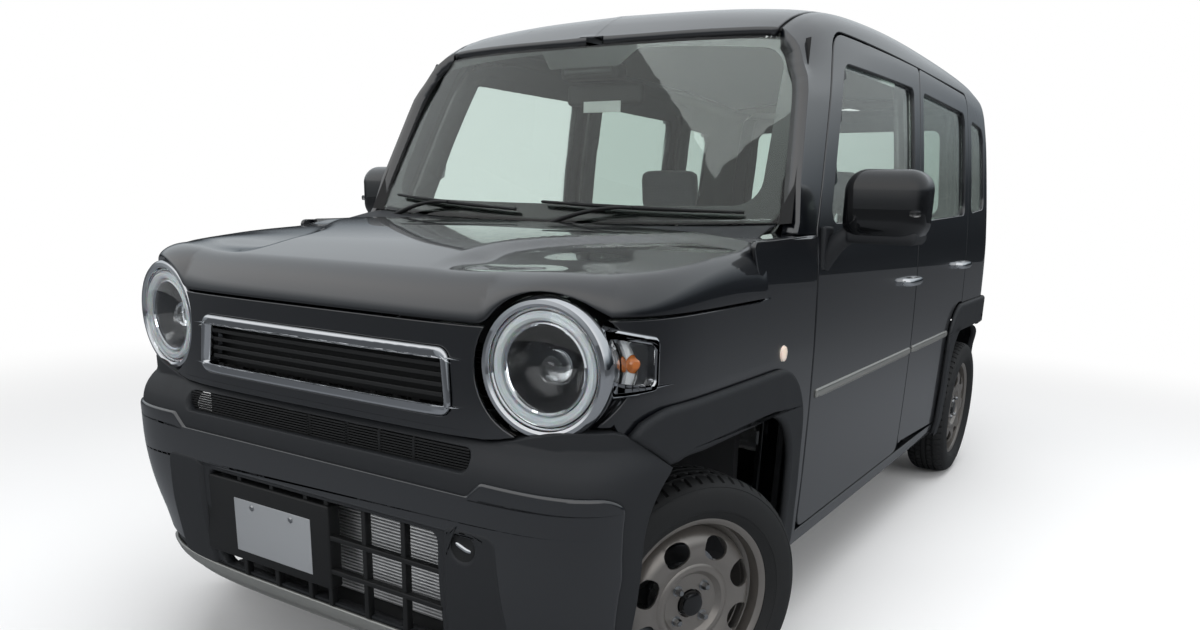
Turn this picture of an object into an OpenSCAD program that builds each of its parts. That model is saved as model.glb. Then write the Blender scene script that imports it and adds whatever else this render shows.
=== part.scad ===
// Kei car: a tall two-box light car with five doors, a bonnet and steered front wheels.
// Frame: X forward, Y to the car's left, Z up; the origin is on the ground under the middle.
// The body skins are thin blocks between two grids of points that follow two plan curves
// (nose and tail), one section (sill to roof) and one roof line.

/* [Overall] */
// length over the bumpers
body_l = 3395; // [3300:5:3400]
// width over the arch trims
body_w = 1475; // [1400:5:1480]
// height of the roof at its crown
body_h = 1680; // [1550:5:1800]
// distance between the axles
wheelbase = 2460; // [2300:5:2600]
// front axle ahead of the middle of the body
axle_f = 1192.5; // [1150:0.5:1220]

/* [Wheels] */
// tyre diameter, 165/60 R15
tyre_d = 579; // [540:1:620]
// tyre section width
tyre_w = 165; // [145:5:175]
// rim diameter at the bead seats
rim_d = 381; // [355:0.5:406]
// rim width over the flanges
rim_w = 128; // [110:1:150]
// distance between the wheel centre planes, front
track_f = 1295; // [1250:5:1310]
// distance between the wheel centre planes, rear
track_r = 1300; // [1250:5:1310]
// bolt circle of the wheel
wheel_pcd = 100; // [98:1:114]
// wheel bolt hole diameter
wheel_bolt_d = 13; // [12:0.5:15]
// round holes in the wheel disc
wheel_holes = 8; // [4:1:12]
// hub spindle diameter
spindle_d = 50; // [30:1:60]
// front wheels' angle as parked, to the right
steer = -26; // [-33:1:33]
// steering axis, distance from the middle
kingpin_y = 560; // [540:1:600]

/* [Doors and lids] */
// gap at every shut line
shut_gap = 6; // [5:0.5:8]
// door thickness below the belt line
door_t = 78; // [60:1:90]
// door frame thickness round the windows
frame_t = 38; // [30:1:50]
// window glass thickness
glass_t = 4; // [3:0.5:6]
// height of the belt line at the doors
belt_z = 1085; // [1000:5:1150]

/* [Nose] */
// headlamp centre height
lamp_z = 840; // [780:5:880]
// headlamp distance from the middle
lamp_y = 549; // [500:1:600]
// headlamp bezel radius
lamp_r = 130; // [100:1:150]
// half length of the grille frame
grille_y = 372; // [300:1:420]
// height of the grille frame's middle
grille_z = 800; // [750:5:850]
// height of the grille frame
grille_h = 128; // [90:1:150]
// slats in the grille
grille_slats = 4; // [2:1:6]

/* [View] */
// the piece to build, or "all"

/* [Hidden] */
$fn = 48;

// colours
PAINT = [0.05, 0.07, 0.11];
MATTE = [0.16, 0.17, 0.18];
BLACK = [0.05, 0.05, 0.05];
CHROME = [0.80, 0.81, 0.82];
SILVER = [0.62, 0.62, 0.60];
BRONZE = [0.36, 0.34, 0.32];
RUBBER = [0.07, 0.07, 0.07];
GLASS = [0.55, 0.62, 0.62, 0.4];
STEEL = [0.45, 0.45, 0.46];
CLOTH = [0.30, 0.30, 0.31];
TRIM = [0.22, 0.22, 0.23];
RED = [0.55, 0.05, 0.05];

axle_r = axle_f - wheelbase;
wheel_z = tyre_d / 2;
MIRRORED = [0, 1, 0];

// ---------- plan, section and roof line ----------

// the plan curves start at these stations and end on the centre line
nose_x0 = 1000;
nose_l = 668;
nose_n = 7;   // fullness along X
tail_x0 = -1400;
tail_l = 250;
tail_n = 4;
plan_m = 4;   // fullness along Y

// cabin section from the sill to the roof's middle: [half width, height]
SECTION = [
    [700, 250], [711, 300], [717, 450], [720, 640], [719, 790], [714, 940], [704, 1085],
    [693, 1200], [676, 1350], [656, 1500], [645, 1565], [630, 1608], [602, 1634],
    [566, 1647], [480, 1660], [300, 1673], [0, 1680]
];
s_sill = 1;     // section index where the sill ends
s_belt = 6;     // section index of the belt line
s_rail = 13;    // section index where the side ends and the roof starts
s_mid = 16;     // section index of the middle of the roof

// how far the roof drops below its crown: [station, drop]
ROOF_LINE = [
    [-1660, 92], [-1560, 56], [-1400, 30], [-1200, 15], [-900, 6], [-400, 0], [0, 2],
    [250, 10], [400, 22], [500, 42], [570, 68], [660, 118]
];

function clamp(t, a, b) = max(a, min(b, t));
function mix(a, b, t) = a + (b - a) * t;
function smooth(t) = let (c = clamp(t, 0, 1)) c * c * (3 - 2 * c);

// value at x in a table of [x, value] rows, straight between rows
function look(tab, x) =
    x <= tab[0][0] ? tab[0][1] :
    x >= tab[len(tab) - 1][0] ? tab[len(tab) - 1][1] :
    let (i = max([for (k = [0:len(tab) - 2]) if (tab[k][0] <= x) k]))
    mix(tab[i][1], tab[i + 1][1], (x - tab[i][0]) / (tab[i + 1][0] - tab[i][0]));

// value at x in a table of [x, value] rows, on a smooth curve through the rows
function ease(tab, x) =
    let (n = len(tab) - 1,
         i = x <= tab[0][0] ? 0 : min(n - 1, max([for (k = [0:n]) if (tab[k][0] <= x) k])),
         a = tab[max(i - 1, 0)], b = tab[i], c = tab[i + 1], d = tab[min(i + 2, n)],
         h = c[0] - b[0], t = clamp((x - b[0]) / h, 0, 1),
         m1 = (c[1] - a[1]) / (c[0] - a[0]) * h, m2 = (d[1] - b[1]) / (d[0] - b[0]) * h)
    b[1] * (2*t*t*t - 3*t*t + 1) + m1 * (t*t*t - 2*t*t + t)
        + c[1] * (3*t*t - 2*t*t*t) + m2 * (t*t*t - t*t);

// point on a smooth curve through a list of points, at index s
function along(pts, s) =
    let (n = len(pts) - 1, i = clamp(floor(s), 0, n - 1), t = s - i,
         a = pts[max(i - 1, 0)], b = pts[i], c = pts[i + 1], d = pts[min(i + 2, n)])
    0.5 * (2 * b + (c - a) * t + (2*a - 5*b + 4*c - d) * t*t + (3*b - 3*c + d - a) * t*t*t);

// plan curve: x distance and y factor after an angle of 0 to 90 degrees
function plan(a, n = nose_n) = [pow(sin(a), 2 / n), pow(cos(a), 2 / plan_m)];

// the tail leans forward above the belt line
function tail_at(z) = tail_l - 62 * smooth((z - 900) / 1100);

// how much narrower the cabin is at station x and height z
function taper(x, z) =
    z < 1000 ? 0 : let (k = (z - 1000) / 560)
    30 * k * pow(max(x + 300, 0) / 900, 2) + 10 * k * pow(max(-x - 700, 0) / 700, 2);

// point of the body's left side at station p and section index s, `in` below the skin;
// past the start of a plan curve the station runs on as degrees round the corner
function body(p, s, in = 0) =
    let (c = along(SECTION, s), d = along(SECTION, min(s + 0.1, s_mid)) - along(SECTION, max(s - 0.1, 0)),
         nrm = [d.y, -d.x] / norm(d), q = c - in * nrm,
         x = p, w = smooth((c.y - 1380) / 260),
         z = q.y - w * ease(ROOF_LINE, clamp(x, -1660, 660)))
    p >= tail_x0 ? [x, q.x - taper(x, c.y), z] :
    let (k = plan(clamp(tail_x0 - p, 0, 90), tail_n), xx = tail_x0 - (tail_at(c.y) - in) * k[0])
    [xx, (q.x - taper(xx, c.y)) * k[1], q.y - w * ease(ROOF_LINE, xx)];

// half width of the nose by height
WIDTH = [for (r = SECTION) [r[1], r[0]]];

// point of the lower body at station p, height z, `in` below the skin; past nose_x0 and
// tail_x0 the station runs on as degrees round the corner
function nose(p, z, in = 0) =
    let (w = look(WIDTH, z) - in)
    p > nose_x0 ? let (k = plan(clamp(p - nose_x0, 0, 90)))
        [nose_x0 + (nose_l - 0.05 * (z - 800) - in) * k[0], w * k[1], z] :
    p < tail_x0 ? let (k = plan(clamp(tail_x0 - p, 0, 90), tail_n))
        [tail_x0 - (tail_at(z) - in) * k[0], w * k[1], z] : [p, w, z];

// bumper sections: [height, how far it lies inside the bumper's fullest line]
FRONT_BUMPER = [[205, 60], [240, 28], [300, 10], [380, 2], [450, 0], [620, 0], [655, 6], [682, 22], [700, 40]];
REAR_BUMPER = [[250, 60], [290, 26], [360, 8], [460, 0], [560, 0], [600, 10], [622, 34], [634, 60]];
bumper_w = 733;
pad_t = 7;    // how far the bumper's pads stand out
bumper_m = 9; // fullness across the front

// point of a bumper at angle a from the side, height z; dir is 1 at the front and -1 at the rear
function bumper(dir, a, z, in = 0) =
    let (q = dir > 0 ? 2 / mix(4.4, bumper_m, smooth((z - 300) / 260)) : 2 / 5, k = [plan(a, dir > 0 ? nose_n : tail_n)[0], pow(cos(a), q)],
         x0 = dir > 0 ? nose_x0 : tail_x0, off = max(0, ease(dir > 0 ? FRONT_BUMPER : REAR_BUMPER, z)), end = body_l / 2 - (dir > 0 ? pad_t : 0))
    [x0 + dir * (end - abs(x0) - off - in) * k[0], (bumper_w - 0.4 * off - in) * k[1], z];

// ---------- shape helpers ----------

// closed block between two grids of points; fo and fi are functions of u and v from 0 to 1
module sheet(nu, nv, fo, fi) {
    n = (nu + 1) * (nv + 1);
    pts = [for (f = [fo, fi], i = [0:nu], j = [0:nv]) f(i / nu, j / nv)];
    p0 = fo(0.5, 0.5);
    out = cross(fo(0.51, 0.5) - p0, fo(0.5, 0.51) - p0) * (p0 - fi(0.5, 0.5)) > 0;
    id = function (k, i, j) k * n + i * (nv + 1) + j;
    quads = concat(
        [for (i = [0:nu - 1], j = [0:nv - 1]) [id(0,i,j), id(0,i,j+1), id(0,i+1,j+1), id(0,i+1,j)]],
        [for (i = [0:nu - 1], j = [0:nv - 1]) [id(1,i,j), id(1,i+1,j), id(1,i+1,j+1), id(1,i,j+1)]],
        [for (i = [0:nu - 1]) [id(0,i,0), id(0,i+1,0), id(1,i+1,0), id(1,i,0)]],
        [for (i = [0:nu - 1]) [id(0,i+1,nv), id(0,i,nv), id(1,i,nv), id(1,i+1,nv)]],
        [for (j = [0:nv - 1]) [id(0,0,j+1), id(0,0,j), id(1,0,j), id(1,0,j+1)]],
        [for (j = [0:nv - 1]) [id(0,nu,j), id(0,nu,j+1), id(1,nu,j+1), id(1,nu,j)]]);
    tris = [for (q = quads) each [[q[0], q[1], q[2]], [q[0], q[2], q[3]]]];
    polyhedron(pts, [for (t = tris) out ? t : [t[2], t[1], t[0]]], convexity = 6);
}

// outline with an arc at each corner; rows are [x, y, corner radius]
function outline(rows, n = 5) =
    [for (i = [0:len(rows) - 1])
        let (m = len(rows), p = rows[i], a = rows[(i + m - 1) % m], b = rows[(i + 1) % m],
             c = [p[0], p[1]], u = [a[0] - p[0], a[1] - p[1]], v = [b[0] - p[0], b[1] - p[1]],
             uu = u / norm(u), vv = v / norm(v), half = acos(clamp(uu * vv, -1, 1)) / 2,
             r = len(p) > 2 ? p[2] : 0)
        each r == 0 || half > 88 ? [c] :
            let (d = min(r / tan(half), 0.49 * min(norm(u), norm(v))), rr = d * tan(half),
                 o = c + (uu + vv) / norm(uu + vv) * rr / sin(half),
                 s = c + uu * d - o, e = c + vv * d - o,
                 a0 = atan2(s.y, s.x), da = ((atan2(e.y, e.x) - a0 + 540) % 360) - 180)
            [for (k = [0:n]) o + rr * [cos(a0 + da * k / n), sin(a0 + da * k / n)]]];

// side-view outline (x, z) pushed through along Y, from y0 to y1
module side_cut(rows, y0 = 380, y1 = 900, grow = 0) {
    translate([0, y1, 0]) rotate([90, 0, 0]) linear_extrude(y1 - y0)
        offset(delta = grow) polygon(outline(rows));
}

// front-view outline (y, z) pushed through along X, from x0 to x1
module front_cut(rows, x0, x1, grow = 0) {
    translate([x0, 0, 0]) rotate([90, 0, 90]) linear_extrude(x1 - x0)
        offset(delta = grow) polygon(outline(rows));
}

// rod between two points
module rod(a, b, r, r2 = undef) {
    d = b - a;
    translate(a) rotate([0, acos(d.z / norm(d)), atan2(d.y, d.x)])
        cylinder(h = norm(d), r1 = r, r2 = r2 == undef ? r : r2, $fn = 24);
}

// box with rounded edges along Y
module bar_y(c, size, r) {
    translate([c.x, c.y - size.y / 2, c.z]) rotate([-90, 0, 0]) linear_extrude(size.y)
        polygon(outline([for (k = [[-1, -1], [1, -1], [1, 1], [-1, 1]]) [k.x * size.x / 2, k.y * size.z / 2, r]], 4));
}

module both() { children(); mirror(MIRRORED) children(); }

// wall thickness of the doors at section index s
function wall(s) = mix(door_t, frame_t, smooth((s - s_belt + 0.4) / 0.8));

// ---------- outlines in side view: [x, z, corner radius] ----------

FRONT_DOOR = [[700, 305, 40], [700, 1075, 30], [646, 1180, 90], [470, 1562, 90], [-278, 1567, 20], [-278, 305, 30]];
REAR_DOOR = [[-284, 305, 30], [-284, 1567, 20], [-1040, 1562, 60], [-1063, 1100, 40], [-1063, 305, 40]];
FRONT_WINDOW = [[600, 1092, 30], [424, 1492, 50], [-205, 1498, 25], [-212, 1092, 25]];
REAR_WINDOW = [[-330, 1094, 25], [-326, 1498, 25], [-985, 1492, 45], [-1000, 1116, 35]];
QUARTER_WINDOW = [[-1122, 1124, 30], [-1114, 1478, 40], [-1384, 1464, 60], [-1396, 1142, 45]];

// wheel arch opening and the trim round it: half widths at the foot and the head, top, corner radius
ARCH = [348, 340, 663, 150];
ARCH_TRIM = [432, 410, 768, 170];

// arch outline about the wheel's middle at x, open to the ground
function arch(x, a, grow = 0) = [
    [x - a[0] - grow, 60], [x - a[1] - grow, a[2] + grow, a[3] + grow],
    [x + a[1] + grow, a[2] + grow, a[3] + grow], [x + a[0] + grow, 60]];

module tail_lamp_cut(grow = 0) {
    front_cut([[594, 790, 16], [594, 1008, 16], [760, 1008, 16], [760, 790, 16]], -1750, -1480, grow = grow);
}

module arch_cut(x, a = ARCH, grow = 0, y0 = 380, y1 = 900) {
    translate([0, y1, 0]) rotate([90, 0, 0]) linear_extrude(y1 - y0) polygon(outline(arch(x, a, grow), 9));
}

// ---------- doors ----------

module skin_block(x0, x1, s0, s1, nx, ns, in0, in1) {
    sheet(nx, ns, function (u, v) body(mix(x0, x1, u), mix(s0, s1, v), in0),
        function (u, v) let (s = mix(s0, s1, v)) body(mix(x0, x1, u), s, in1 == undef ? wall(s) : in1));
}

module handle_pull(x, z) {
    y = 716;
    color(CHROME) {
        rod([x + 62, y - 8, z], [x + 58, y + 16, z], 9);
        rod([x - 62, y - 8, z], [x - 58, y + 16, z], 9);
        rod([x + 66, y + 18, z], [x - 66, y + 18, z], 10);
    }
}

module side_moulding(x0, x1) {
    color(SILVER) sheet(4, 2, function (u, v) body(mix(x0, x1, u), mix(3.0, 3.28, v), -7),
        function (u, v) body(mix(x0, x1, u), mix(2.95, 3.33, v), 3));
}

// door panel whose rear edge, at station x, is cut back behind the skin so that it swings clear
module door_shell(rows, x0, x1, x) {
    difference() {
        intersection() {
            skin_block(x0, x1, 0.6, 11.4, 6, 14, 0);
            side_cut(rows);
        }
        skin_block(x + 8, x - 30, 0.35, 11.65, 1, 13, 24, 140);
    }
}

module door_front() {
    color(PAINT) difference() {
        door_shell(FRONT_DOOR, 720, -300, -278);
        side_cut(FRONT_WINDOW);
    }
    side_moulding(668, -262);
    handle_pull(-178, 905);
}

module door_rear() {
    color(PAINT) difference() {
        door_shell(REAR_DOOR, -270, -1080, -1063);
        side_cut(REAR_WINDOW);
        arch_cut(axle_r, ARCH_TRIM, shut_gap);
        arch_cut(axle_r, ARCH_TRIM, shut_gap + 10, 380, 690);
    }
    side_moulding(-300, -826);
    handle_pull(-965, 925);
}

module side_glass(rows, x0, x1, in) {
    color(GLASS) intersection() {
        skin_block(x0, x1, s_belt - 0.5, 10.5, 3, 6, in, in + glass_t);
        side_cut(rows, grow = -1);
    }
}

// ---------- body sides ----------

// stations along a side panel, windscreen pillar to tail corner
function side_at(u) = u < 0.66 ? mix(840, tail_x0, u / 0.66) : tail_x0 - 41.6 * pow((u - 0.66) / 0.34, 1.4);

module side_panel() {
    frame_in = 44; // depth of the frame behind a shut door
    tail_t = 46;   // thickness at the tail corner
    color(PAINT) difference() {
        sheet(15, 16, function (u, v) body(side_at(u), mix(0, s_rail, v)),
            function (u, v) let (s = mix(0, s_rail, v))
                body(side_at(u), s, mix(wall(s) + frame_in, tail_t, smooth((u - 0.54) / 0.1))));
        intersection() {
            sheet(6, 14, function (u, v) body(mix(730, -1090, u), mix(0.6, 11.4, v), -20),
                function (u, v) let (s = mix(0.6, 11.4, v)) body(mix(730, -1090, u), s, wall(s) + shut_gap + 4));
            union() { side_cut(FRONT_DOOR, grow = shut_gap); side_cut(REAR_DOOR, grow = shut_gap); }
        }
        side_cut(FRONT_DOOR, grow = -38);
        side_cut(REAR_DOOR, grow = -38);
        side_cut(QUARTER_WINDOW);
        arch_cut(axle_r, grow = 2);
        // behind the rear wheel the bumper takes over
        side_cut([[-1300, 100], [-1300, 642], [-1800, 642], [-1800, 100]]);
        screen_room();
        // the fender covers the pillar's foot
        side_cut([[700, -50], [700, 1070], [900, 1070], [900, -50]], 684);
        // everything ahead of the windscreen line
        side_cut([[1000, -50], [835, -50], [835, 1040], [815, 1088], [790, 1180], [628, 1540], [600, 1700], [1000, 1700]], 0, 900);
        tail_lamp_cut(1.5);
    }
}

// ---------- roof ----------

roof_x1 = -1500; // the roof ends here and the tailgate starts

// the whole roof skin, windscreen to tail; side to side
module roof_skin(s_side) {
    function at(u) = u < 0.7 ? mix(622, tail_x0, u / 0.7) : tail_x0 - 90 * pow((u - 0.7) / 0.3, 1.3);
    function pt(u, v, in) = let (q = body(at(u), mix(s_mid, s_side, abs(2 * v - 1)), in)) [q.x, (v < 0.5 ? -1 : 1) * q.y, q.z];
    sheet(18, 12, function (u, v) pt(u * 0.995, v, 0), function (u, v) pt(u * 0.995, v, 26));
}

module roof_panel() {
    color(PAINT) difference() {
        roof_skin(s_rail + 0.04);
        translate([roof_x1 - 400, -800, 1300]) cube([400, 1600, 500]);
        screen_room();
    }
}
// ---------- front body ----------

// bonnet: height of its middle line by station
BONNET_LINE = [[1000, 1076], [1150, 1068], [1300, 1056], [1450, 1036], [1560, 1012], [1668, 984]];
bonnet_edge_z = 914; // lower edge over the grille
bonnet_side_z = 936; // lower edge along the fenders
bonnet_r = 62;       // how far in from the edge the top rounds down

// height of the bonnet's skin over x, y, before its edges round down
function bonnet_top(x, y) = ease(BONNET_LINE, x) - 8 * pow(y / 700, 2) - 10 * pow(y / 700, 6);

// lower edge of the bonnet at y: it arches over the lamps
function bonnet_lip(y) = max(mix(bonnet_edge_z, bonnet_side_z, smooth((y - 500) / 80)),
    lamp_z + sqrt(max(0, pow(lamp_r + shut_gap + 5, 2) - pow(y - lamp_y, 2))));

// angle round the nose for w from 0 (middle) to 1 (rear corner), even steps across the front
function bonnet_angle(w) = w < 0.6 ? acos(pow(0.92 * w / 0.6, 2)) : 32.2 * pow(1 - 0.97 * (w - 0.6) / 0.4, 3);

// bonnet point: v from -1 to 1 across, u from the rear edge to the front and side edge
function bonnet_at(u, v, in = 0) =
    let (side = v < 0 ? -1 : 1, w = abs(v), k = plan(bonnet_angle(w)),
         b = [nose_x0 + (nose_l - 2 - in) * k[0], (717 - in) * k[1]],
         r = [1004 + 45 * w * w, 690 * w],
         q = mix(r, b, 1 - pow(1 - u, 1.7)), y = abs(q.y), d = clamp(norm(b - q) / bonnet_r, 0, 1))
    [q.x, side * q.y, mix(bonnet_lip(y), bonnet_top(q.x, y) - in, sqrt(1 - pow(1 - d, 2)))];

module bonnet() {
    color(PAINT) sheet(12, 32, function (u, v) bonnet_at(u, 2 * v - 1), function (u, v) bonnet_at(u, 2 * v - 1, 20));
}

function fender_at(u) = u < 0.25 ? mix(706, nose_x0, u / 0.25) : nose_x0 + 36 * pow((u - 0.25) / 0.75, 2.6);

module fender() {
    color(PAINT) difference() {
        intersection() {
            sheet(14, 10, function (u, v) nose(fender_at(u), mix(252, 1064, v)),
                function (u, v) nose(fender_at(u), mix(252, 1064, v), 12));
            side_cut([[706, 252], [706, 1060], [800, 1062, 60], [980, 1058, 30], [1016, 930, 8], [1700, 930], [1700, 744], [1562, 744, 10], [1384, 618], [1200, 240]]);
        }
        arch_cut(axle_f, grow = 2);
        lamp_cut(2);
        turn_signal_cut(2);
    }
}

SIGNAL = [[630, 788, 14], [630, 926, 20], [760, 900, 24], [760, 800, 24]];
module turn_signal_cut(grow = 0) { front_cut(SIGNAL, 1476, 1700, grow = grow); }

module lamp_cut(grow = 0) {
    translate([1432, lamp_y - 18, lamp_z]) rotate([0, 90, 6]) cylinder(h = 300, r = lamp_r + grow, $fn = 64);
}

GRILLE = [[grille_y, grille_z - grille_h / 2, 26], [grille_y - 12, grille_z + grille_h / 2, 26],
          [-grille_y + 12, grille_z + grille_h / 2, 26], [-grille_y, grille_z - grille_h / 2, 26]];

// top edge of the bumper, and lower edge of the nose panel above it
function brow(y) = 698 + 38 * smooth((abs(y) - 430) / 200);

module nose_panel() {
    function at(v) = nose_x0 + 90 - 52.5 * abs(2 * v - 1);
    function pt(u, v, in) = let (y = nose(at(u), 800).y, q = nose(at(u), mix(brow(y) + 7, bonnet_edge_z - shut_gap, v), in))
        [q.x, (u < 0.5 ? -1 : 1) * q.y, q.z];
    color(PAINT) difference() {
        sheet(28, 4, function (u, v) pt(u, v, 0), function (u, v) pt(u, v, 18));
        front_cut(GRILLE, 1500, 1700, grow = 1);
        both() { lamp_cut(2); turn_signal_cut(2); }
    }
}

module grille() {
    function plan_block(z0, z1, in0, in1) = [z0, z1, in0, in1];
    module band(z0, z1, in0, in1) {
        sheet(12, 1, function (u, v) let (q = nose(nose_x0 + 90 - 44 * abs(2 * u - 1), mix(z0, z1, v), in0)) [q.x, (u < 0.5 ? -1 : 1) * q.y, q.z],
            function (u, v) let (q = nose(nose_x0 + 90 - 44 * abs(2 * u - 1), mix(z0, z1, v), in1)) [q.x, (u < 0.5 ? -1 : 1) * q.y, q.z]);
    }
    z0 = grille_z - grille_h / 2;
    pitch = (grille_h - 44) / (grille_slats + 0.5);
    color(CHROME) difference() {
        intersection() { band(z0 - 5, z0 + grille_h + 5, -8, 22); front_cut(GRILLE, 1500, 1700); }
        front_cut(GRILLE, 1500, 1750, grow = -20);
    }
    color(BLACK) intersection() {
        union() {
            band(z0, z0 + grille_h, 34, 44);
            for (i = [0:grille_slats - 1]) let (z = z0 + 22 + pitch * (i + 0.6)) band(z, z + pitch * 0.42, 6, 36);
        }
        front_cut(GRILLE, 1400, 1750, grow = -10);
    }
}

PLATE_Y = -150;
module bumper_front() {
    function at(u) = 90 - 84 * abs(2 * u - 1);
    function pt(u, z, in) = let (q = bumper(1, at(u), z, in)) [q.x, (u < 0.5 ? -1 : 1) * q.y, q.z];
    module pad(y) {
        intersection() {
            sheet(28, 6, function (u, v) pt(u, mix(262, 540, v), -pad_t), function (u, v) pt(u, mix(262, 540, v), 6));
            front_cut([[y - 66, 262, 20], [y - 62, 534, 24], [y + 62, 534, 24], [y + 84, 262, 20]], 1500, 1720);
        }
    }
    color(MATTE) difference() {
        union() {
            sheet(36, 12, function (u, v) pt(u, mix(205, brow(bumper(1, at(u), 600).y), v), 0),
                function (u, v) pt(u, mix(205, brow(bumper(1, at(u), 600).y), v), 26));
            both() pad(430);
        }
        both() {
            lamp_cut(2);
            side_cut([[1382, 60], [1382, 606], [1560, 732], [1560, 900], [1000, 900], [1000, 60]]);
            arch_cut(axle_f, grow = 2);
        }
        front_cut([[-428, 638, 20], [-424, 686, 20], [424, 686, 20], [428, 638, 20]], 1500, 1720);
        difference() {
            front_cut([[-352, 276, 20], [-352, 512, 20], [352, 512, 20], [352, 276, 20]], 1500, 1720);
            for (z = [348, 424]) translate([1500, -360, z]) cube([220, 720, 12]);
            for (y = [-252, -142, 142, 252]) translate([1500, y - 6, 260]) cube([220, 12, 260]);
        }
    }
    color(BLACK) translate([1655, PLATE_Y - 200, 312]) cube([32, 400, 182]);
    color(SILVER) translate([1687, PLATE_Y - 112, 334]) cube([4, 250, 126]);
}

module skid_garnish() {
    function at(u) = 90 - 52 * abs(2 * u - 1);
    color(SILVER) sheet(20, 3, function (u, v) let (q = bumper(1, at(u), mix(214, 262, v), -9)) [q.x, (u < 0.5 ? -1 : 1) * q.y, q.z],
        function (u, v) let (q = bumper(1, at(u), mix(214, 262, v), -1)) [q.x, (u < 0.5 ? -1 : 1) * q.y, q.z]);
}

module cooling_pack() {
    color(STEEL) translate([1560, -330, 268]) cube([34, 660, 236]);
    color(BLACK) translate([1560, -400, 520]) cube([20, 800, 170]);
}

module headlamp() {
    translate([1532, lamp_y - 8, lamp_z]) rotate([0, 90, 6]) {
        color(CHROME) rotate_extrude($fn = 64)
            polygon([[0, 0], [lamp_r - 6, 0], [lamp_r - 2, 60], [lamp_r, 84], [lamp_r - 8, 92], [lamp_r - 20, 90], [lamp_r - 24, 78],
                [lamp_r - 34, 78], [lamp_r - 42, 86], [lamp_r - 52, 78], [70, 60], [54, 40], [40, 36], [40, 56], [30, 66], [0, 70]]);
    }
    color([0.9, 0.45, 0.1]) intersection() {
        sheet(6, 2, function (u, v) nose(nose_x0 + mix(22, 44, u), mix(796, 894, v), -10),
            function (u, v) nose(nose_x0 + mix(22, 44, u), mix(796, 894, v), 40));
        front_cut([[642, 794, 10], [642, 896, 10], [758, 896, 10], [758, 794, 10]], 1500, 1700);
    }
}

// ---------- glass, cowl and cabin ----------

// windscreen point: v across from -1 to 1, u from the bottom to the top
function screen(u, v, in = 0) =
    let (y = v * mix(650, 596, u), bow = 1 - pow(abs(v), 2.4))
    [mix(822, 604, u) + mix(96, 46, u) * bow - in, y, mix(1086, 1528, u) + mix(-16, 30, u) * bow + 14 * sin(180 * u)];

// room for the windscreen in the pillars and the roof
module screen_room() {
    sheet(2, 12, function (u, v) screen(mix(-0.12, 1.012, u), mix(-1.012, 1.012, v), -90),
        function (u, v) screen(mix(-0.12, 1.012, u), mix(-1.012, 1.012, v), 10));
}

module windscreen() {
    color(GLASS) sheet(6, 12, function (u, v) screen(u, 2 * v - 1), function (u, v) screen(u, 2 * v - 1, 6));
}

module bulkhead() {
    color(TRIM) {
        translate([800, -576, 240]) cube([26, 1152, 776]);
        translate([800, -576, 1000]) cube([186, 1152, 16]);
    }
}

rear_floor_z = 380;
module floor_pan() {
    color(TRIM) {
        translate([-860, -590, 205]) cube([1655, 1180, 24]);
        translate([-1620, -530, rear_floor_z]) cube([760, 1060, 20]);
        translate([-884, -576, 205]) cube([24, 1152, 195]);
        both() translate([832, 250, 230]) cube([708, 60, 90]);
        both() translate([-1530, 510, rear_floor_z]) cube([670, 20, 320]);
    }
}

module dashboard() {
    color(BLACK) difference() {
        translate([0, 578, 0]) rotate([90, 0, 0]) linear_extrude(1156)
            polygon(outline([[560, 700, 30], [520, 820, 40], [545, 985, 50], [640, 1030, 60], [780, 1015, 20], [780, 700, 20]]));
    }
}

module seat(x, y, w, h, back) {
    color(CLOTH) {
        bar_y([x + 240, y, 420], [500, w, 150], 50);
        translate([x, y, 430]) rotate([0, -12, 0]) translate([-60, 0, h / 2]) bar_y([0, 0, 0], [120, w - 30, h], 45);
    }
}

module front_seats() {
    for (y = [-320, 320]) {
        seat(-230, y, 500, 640, 12);
        color(CLOTH) bar_y([-420, y, 1180], [90, 260, 170], 35);
        color(STEEL) translate([-180, y - 180, 250]) cube([380, 360, 90]);
    }
}

module rear_seat() {
    translate([0, 0, 70]) seat(-1050, 0, 960, 520, 12);
}

module power_unit() { color(STEEL) translate([930, -330, 330]) cube([420, 640, 480]); }

module front_subframe() {
    color(STEEL) {
        translate([960, -330, 168]) cube([160, 660, 56]);
        both() rod([1040, 320, 200], [axle_f, 518, 190], 18);
        both() rod([1110, 320, 200], [axle_f, 518, 190], 14);
    }
}

// turns a left front wheel and its knuckle about the steering axis
module steered(side) {
    translate([axle_f, side * kingpin_y, 0]) rotate([0, 0, steer]) translate([-axle_f, -side * kingpin_y, 0]) children();
}

module hub(y0, carrier) {
    translate([0, y0 - 22, wheel_z]) rotate([90, 0, 0]) cylinder(h = carrier, r = 58);
    translate([0, y0 + hub_face + 2, wheel_z]) rotate([90, 0, 0]) cylinder(h = hub_face + 26, r = spindle_d / 2);
}

module knuckle() {
    y0 = track_f / 2;
    color(STEEL) {
        translate([axle_f, 0, 0]) hub(y0, 46);
        rod([axle_f, y0 - 62, wheel_z - 20], [axle_f, kingpin_y - 56, 330], 24);
        rod([axle_f, kingpin_y - 56, 320], [axle_f, kingpin_y - 56, 640], 27);
        rod([axle_f, kingpin_y, 190], [axle_f, y0 - 64, wheel_z - 20], 16);
    }
}

module rear_axle() {
    color(STEEL) {
        translate([axle_r + 60, 500, 240]) rotate([90, 0, 0]) cylinder(h = 1000, r = 34);
        both() {
            rod([axle_r + 330, 470, 262], [axle_r + 60, 480, 240], 22);
            translate([axle_r, 0, 0]) hub(track_r / 2, 60);
            rod([axle_r + 60, 490, 240], [axle_r, track_r / 2 - 70, wheel_z], 26);
        }
    }
}

module fuel_tank() { color(BLACK) translate([-760, -250, 135]) cube([460, 550, 64]); }

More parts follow.
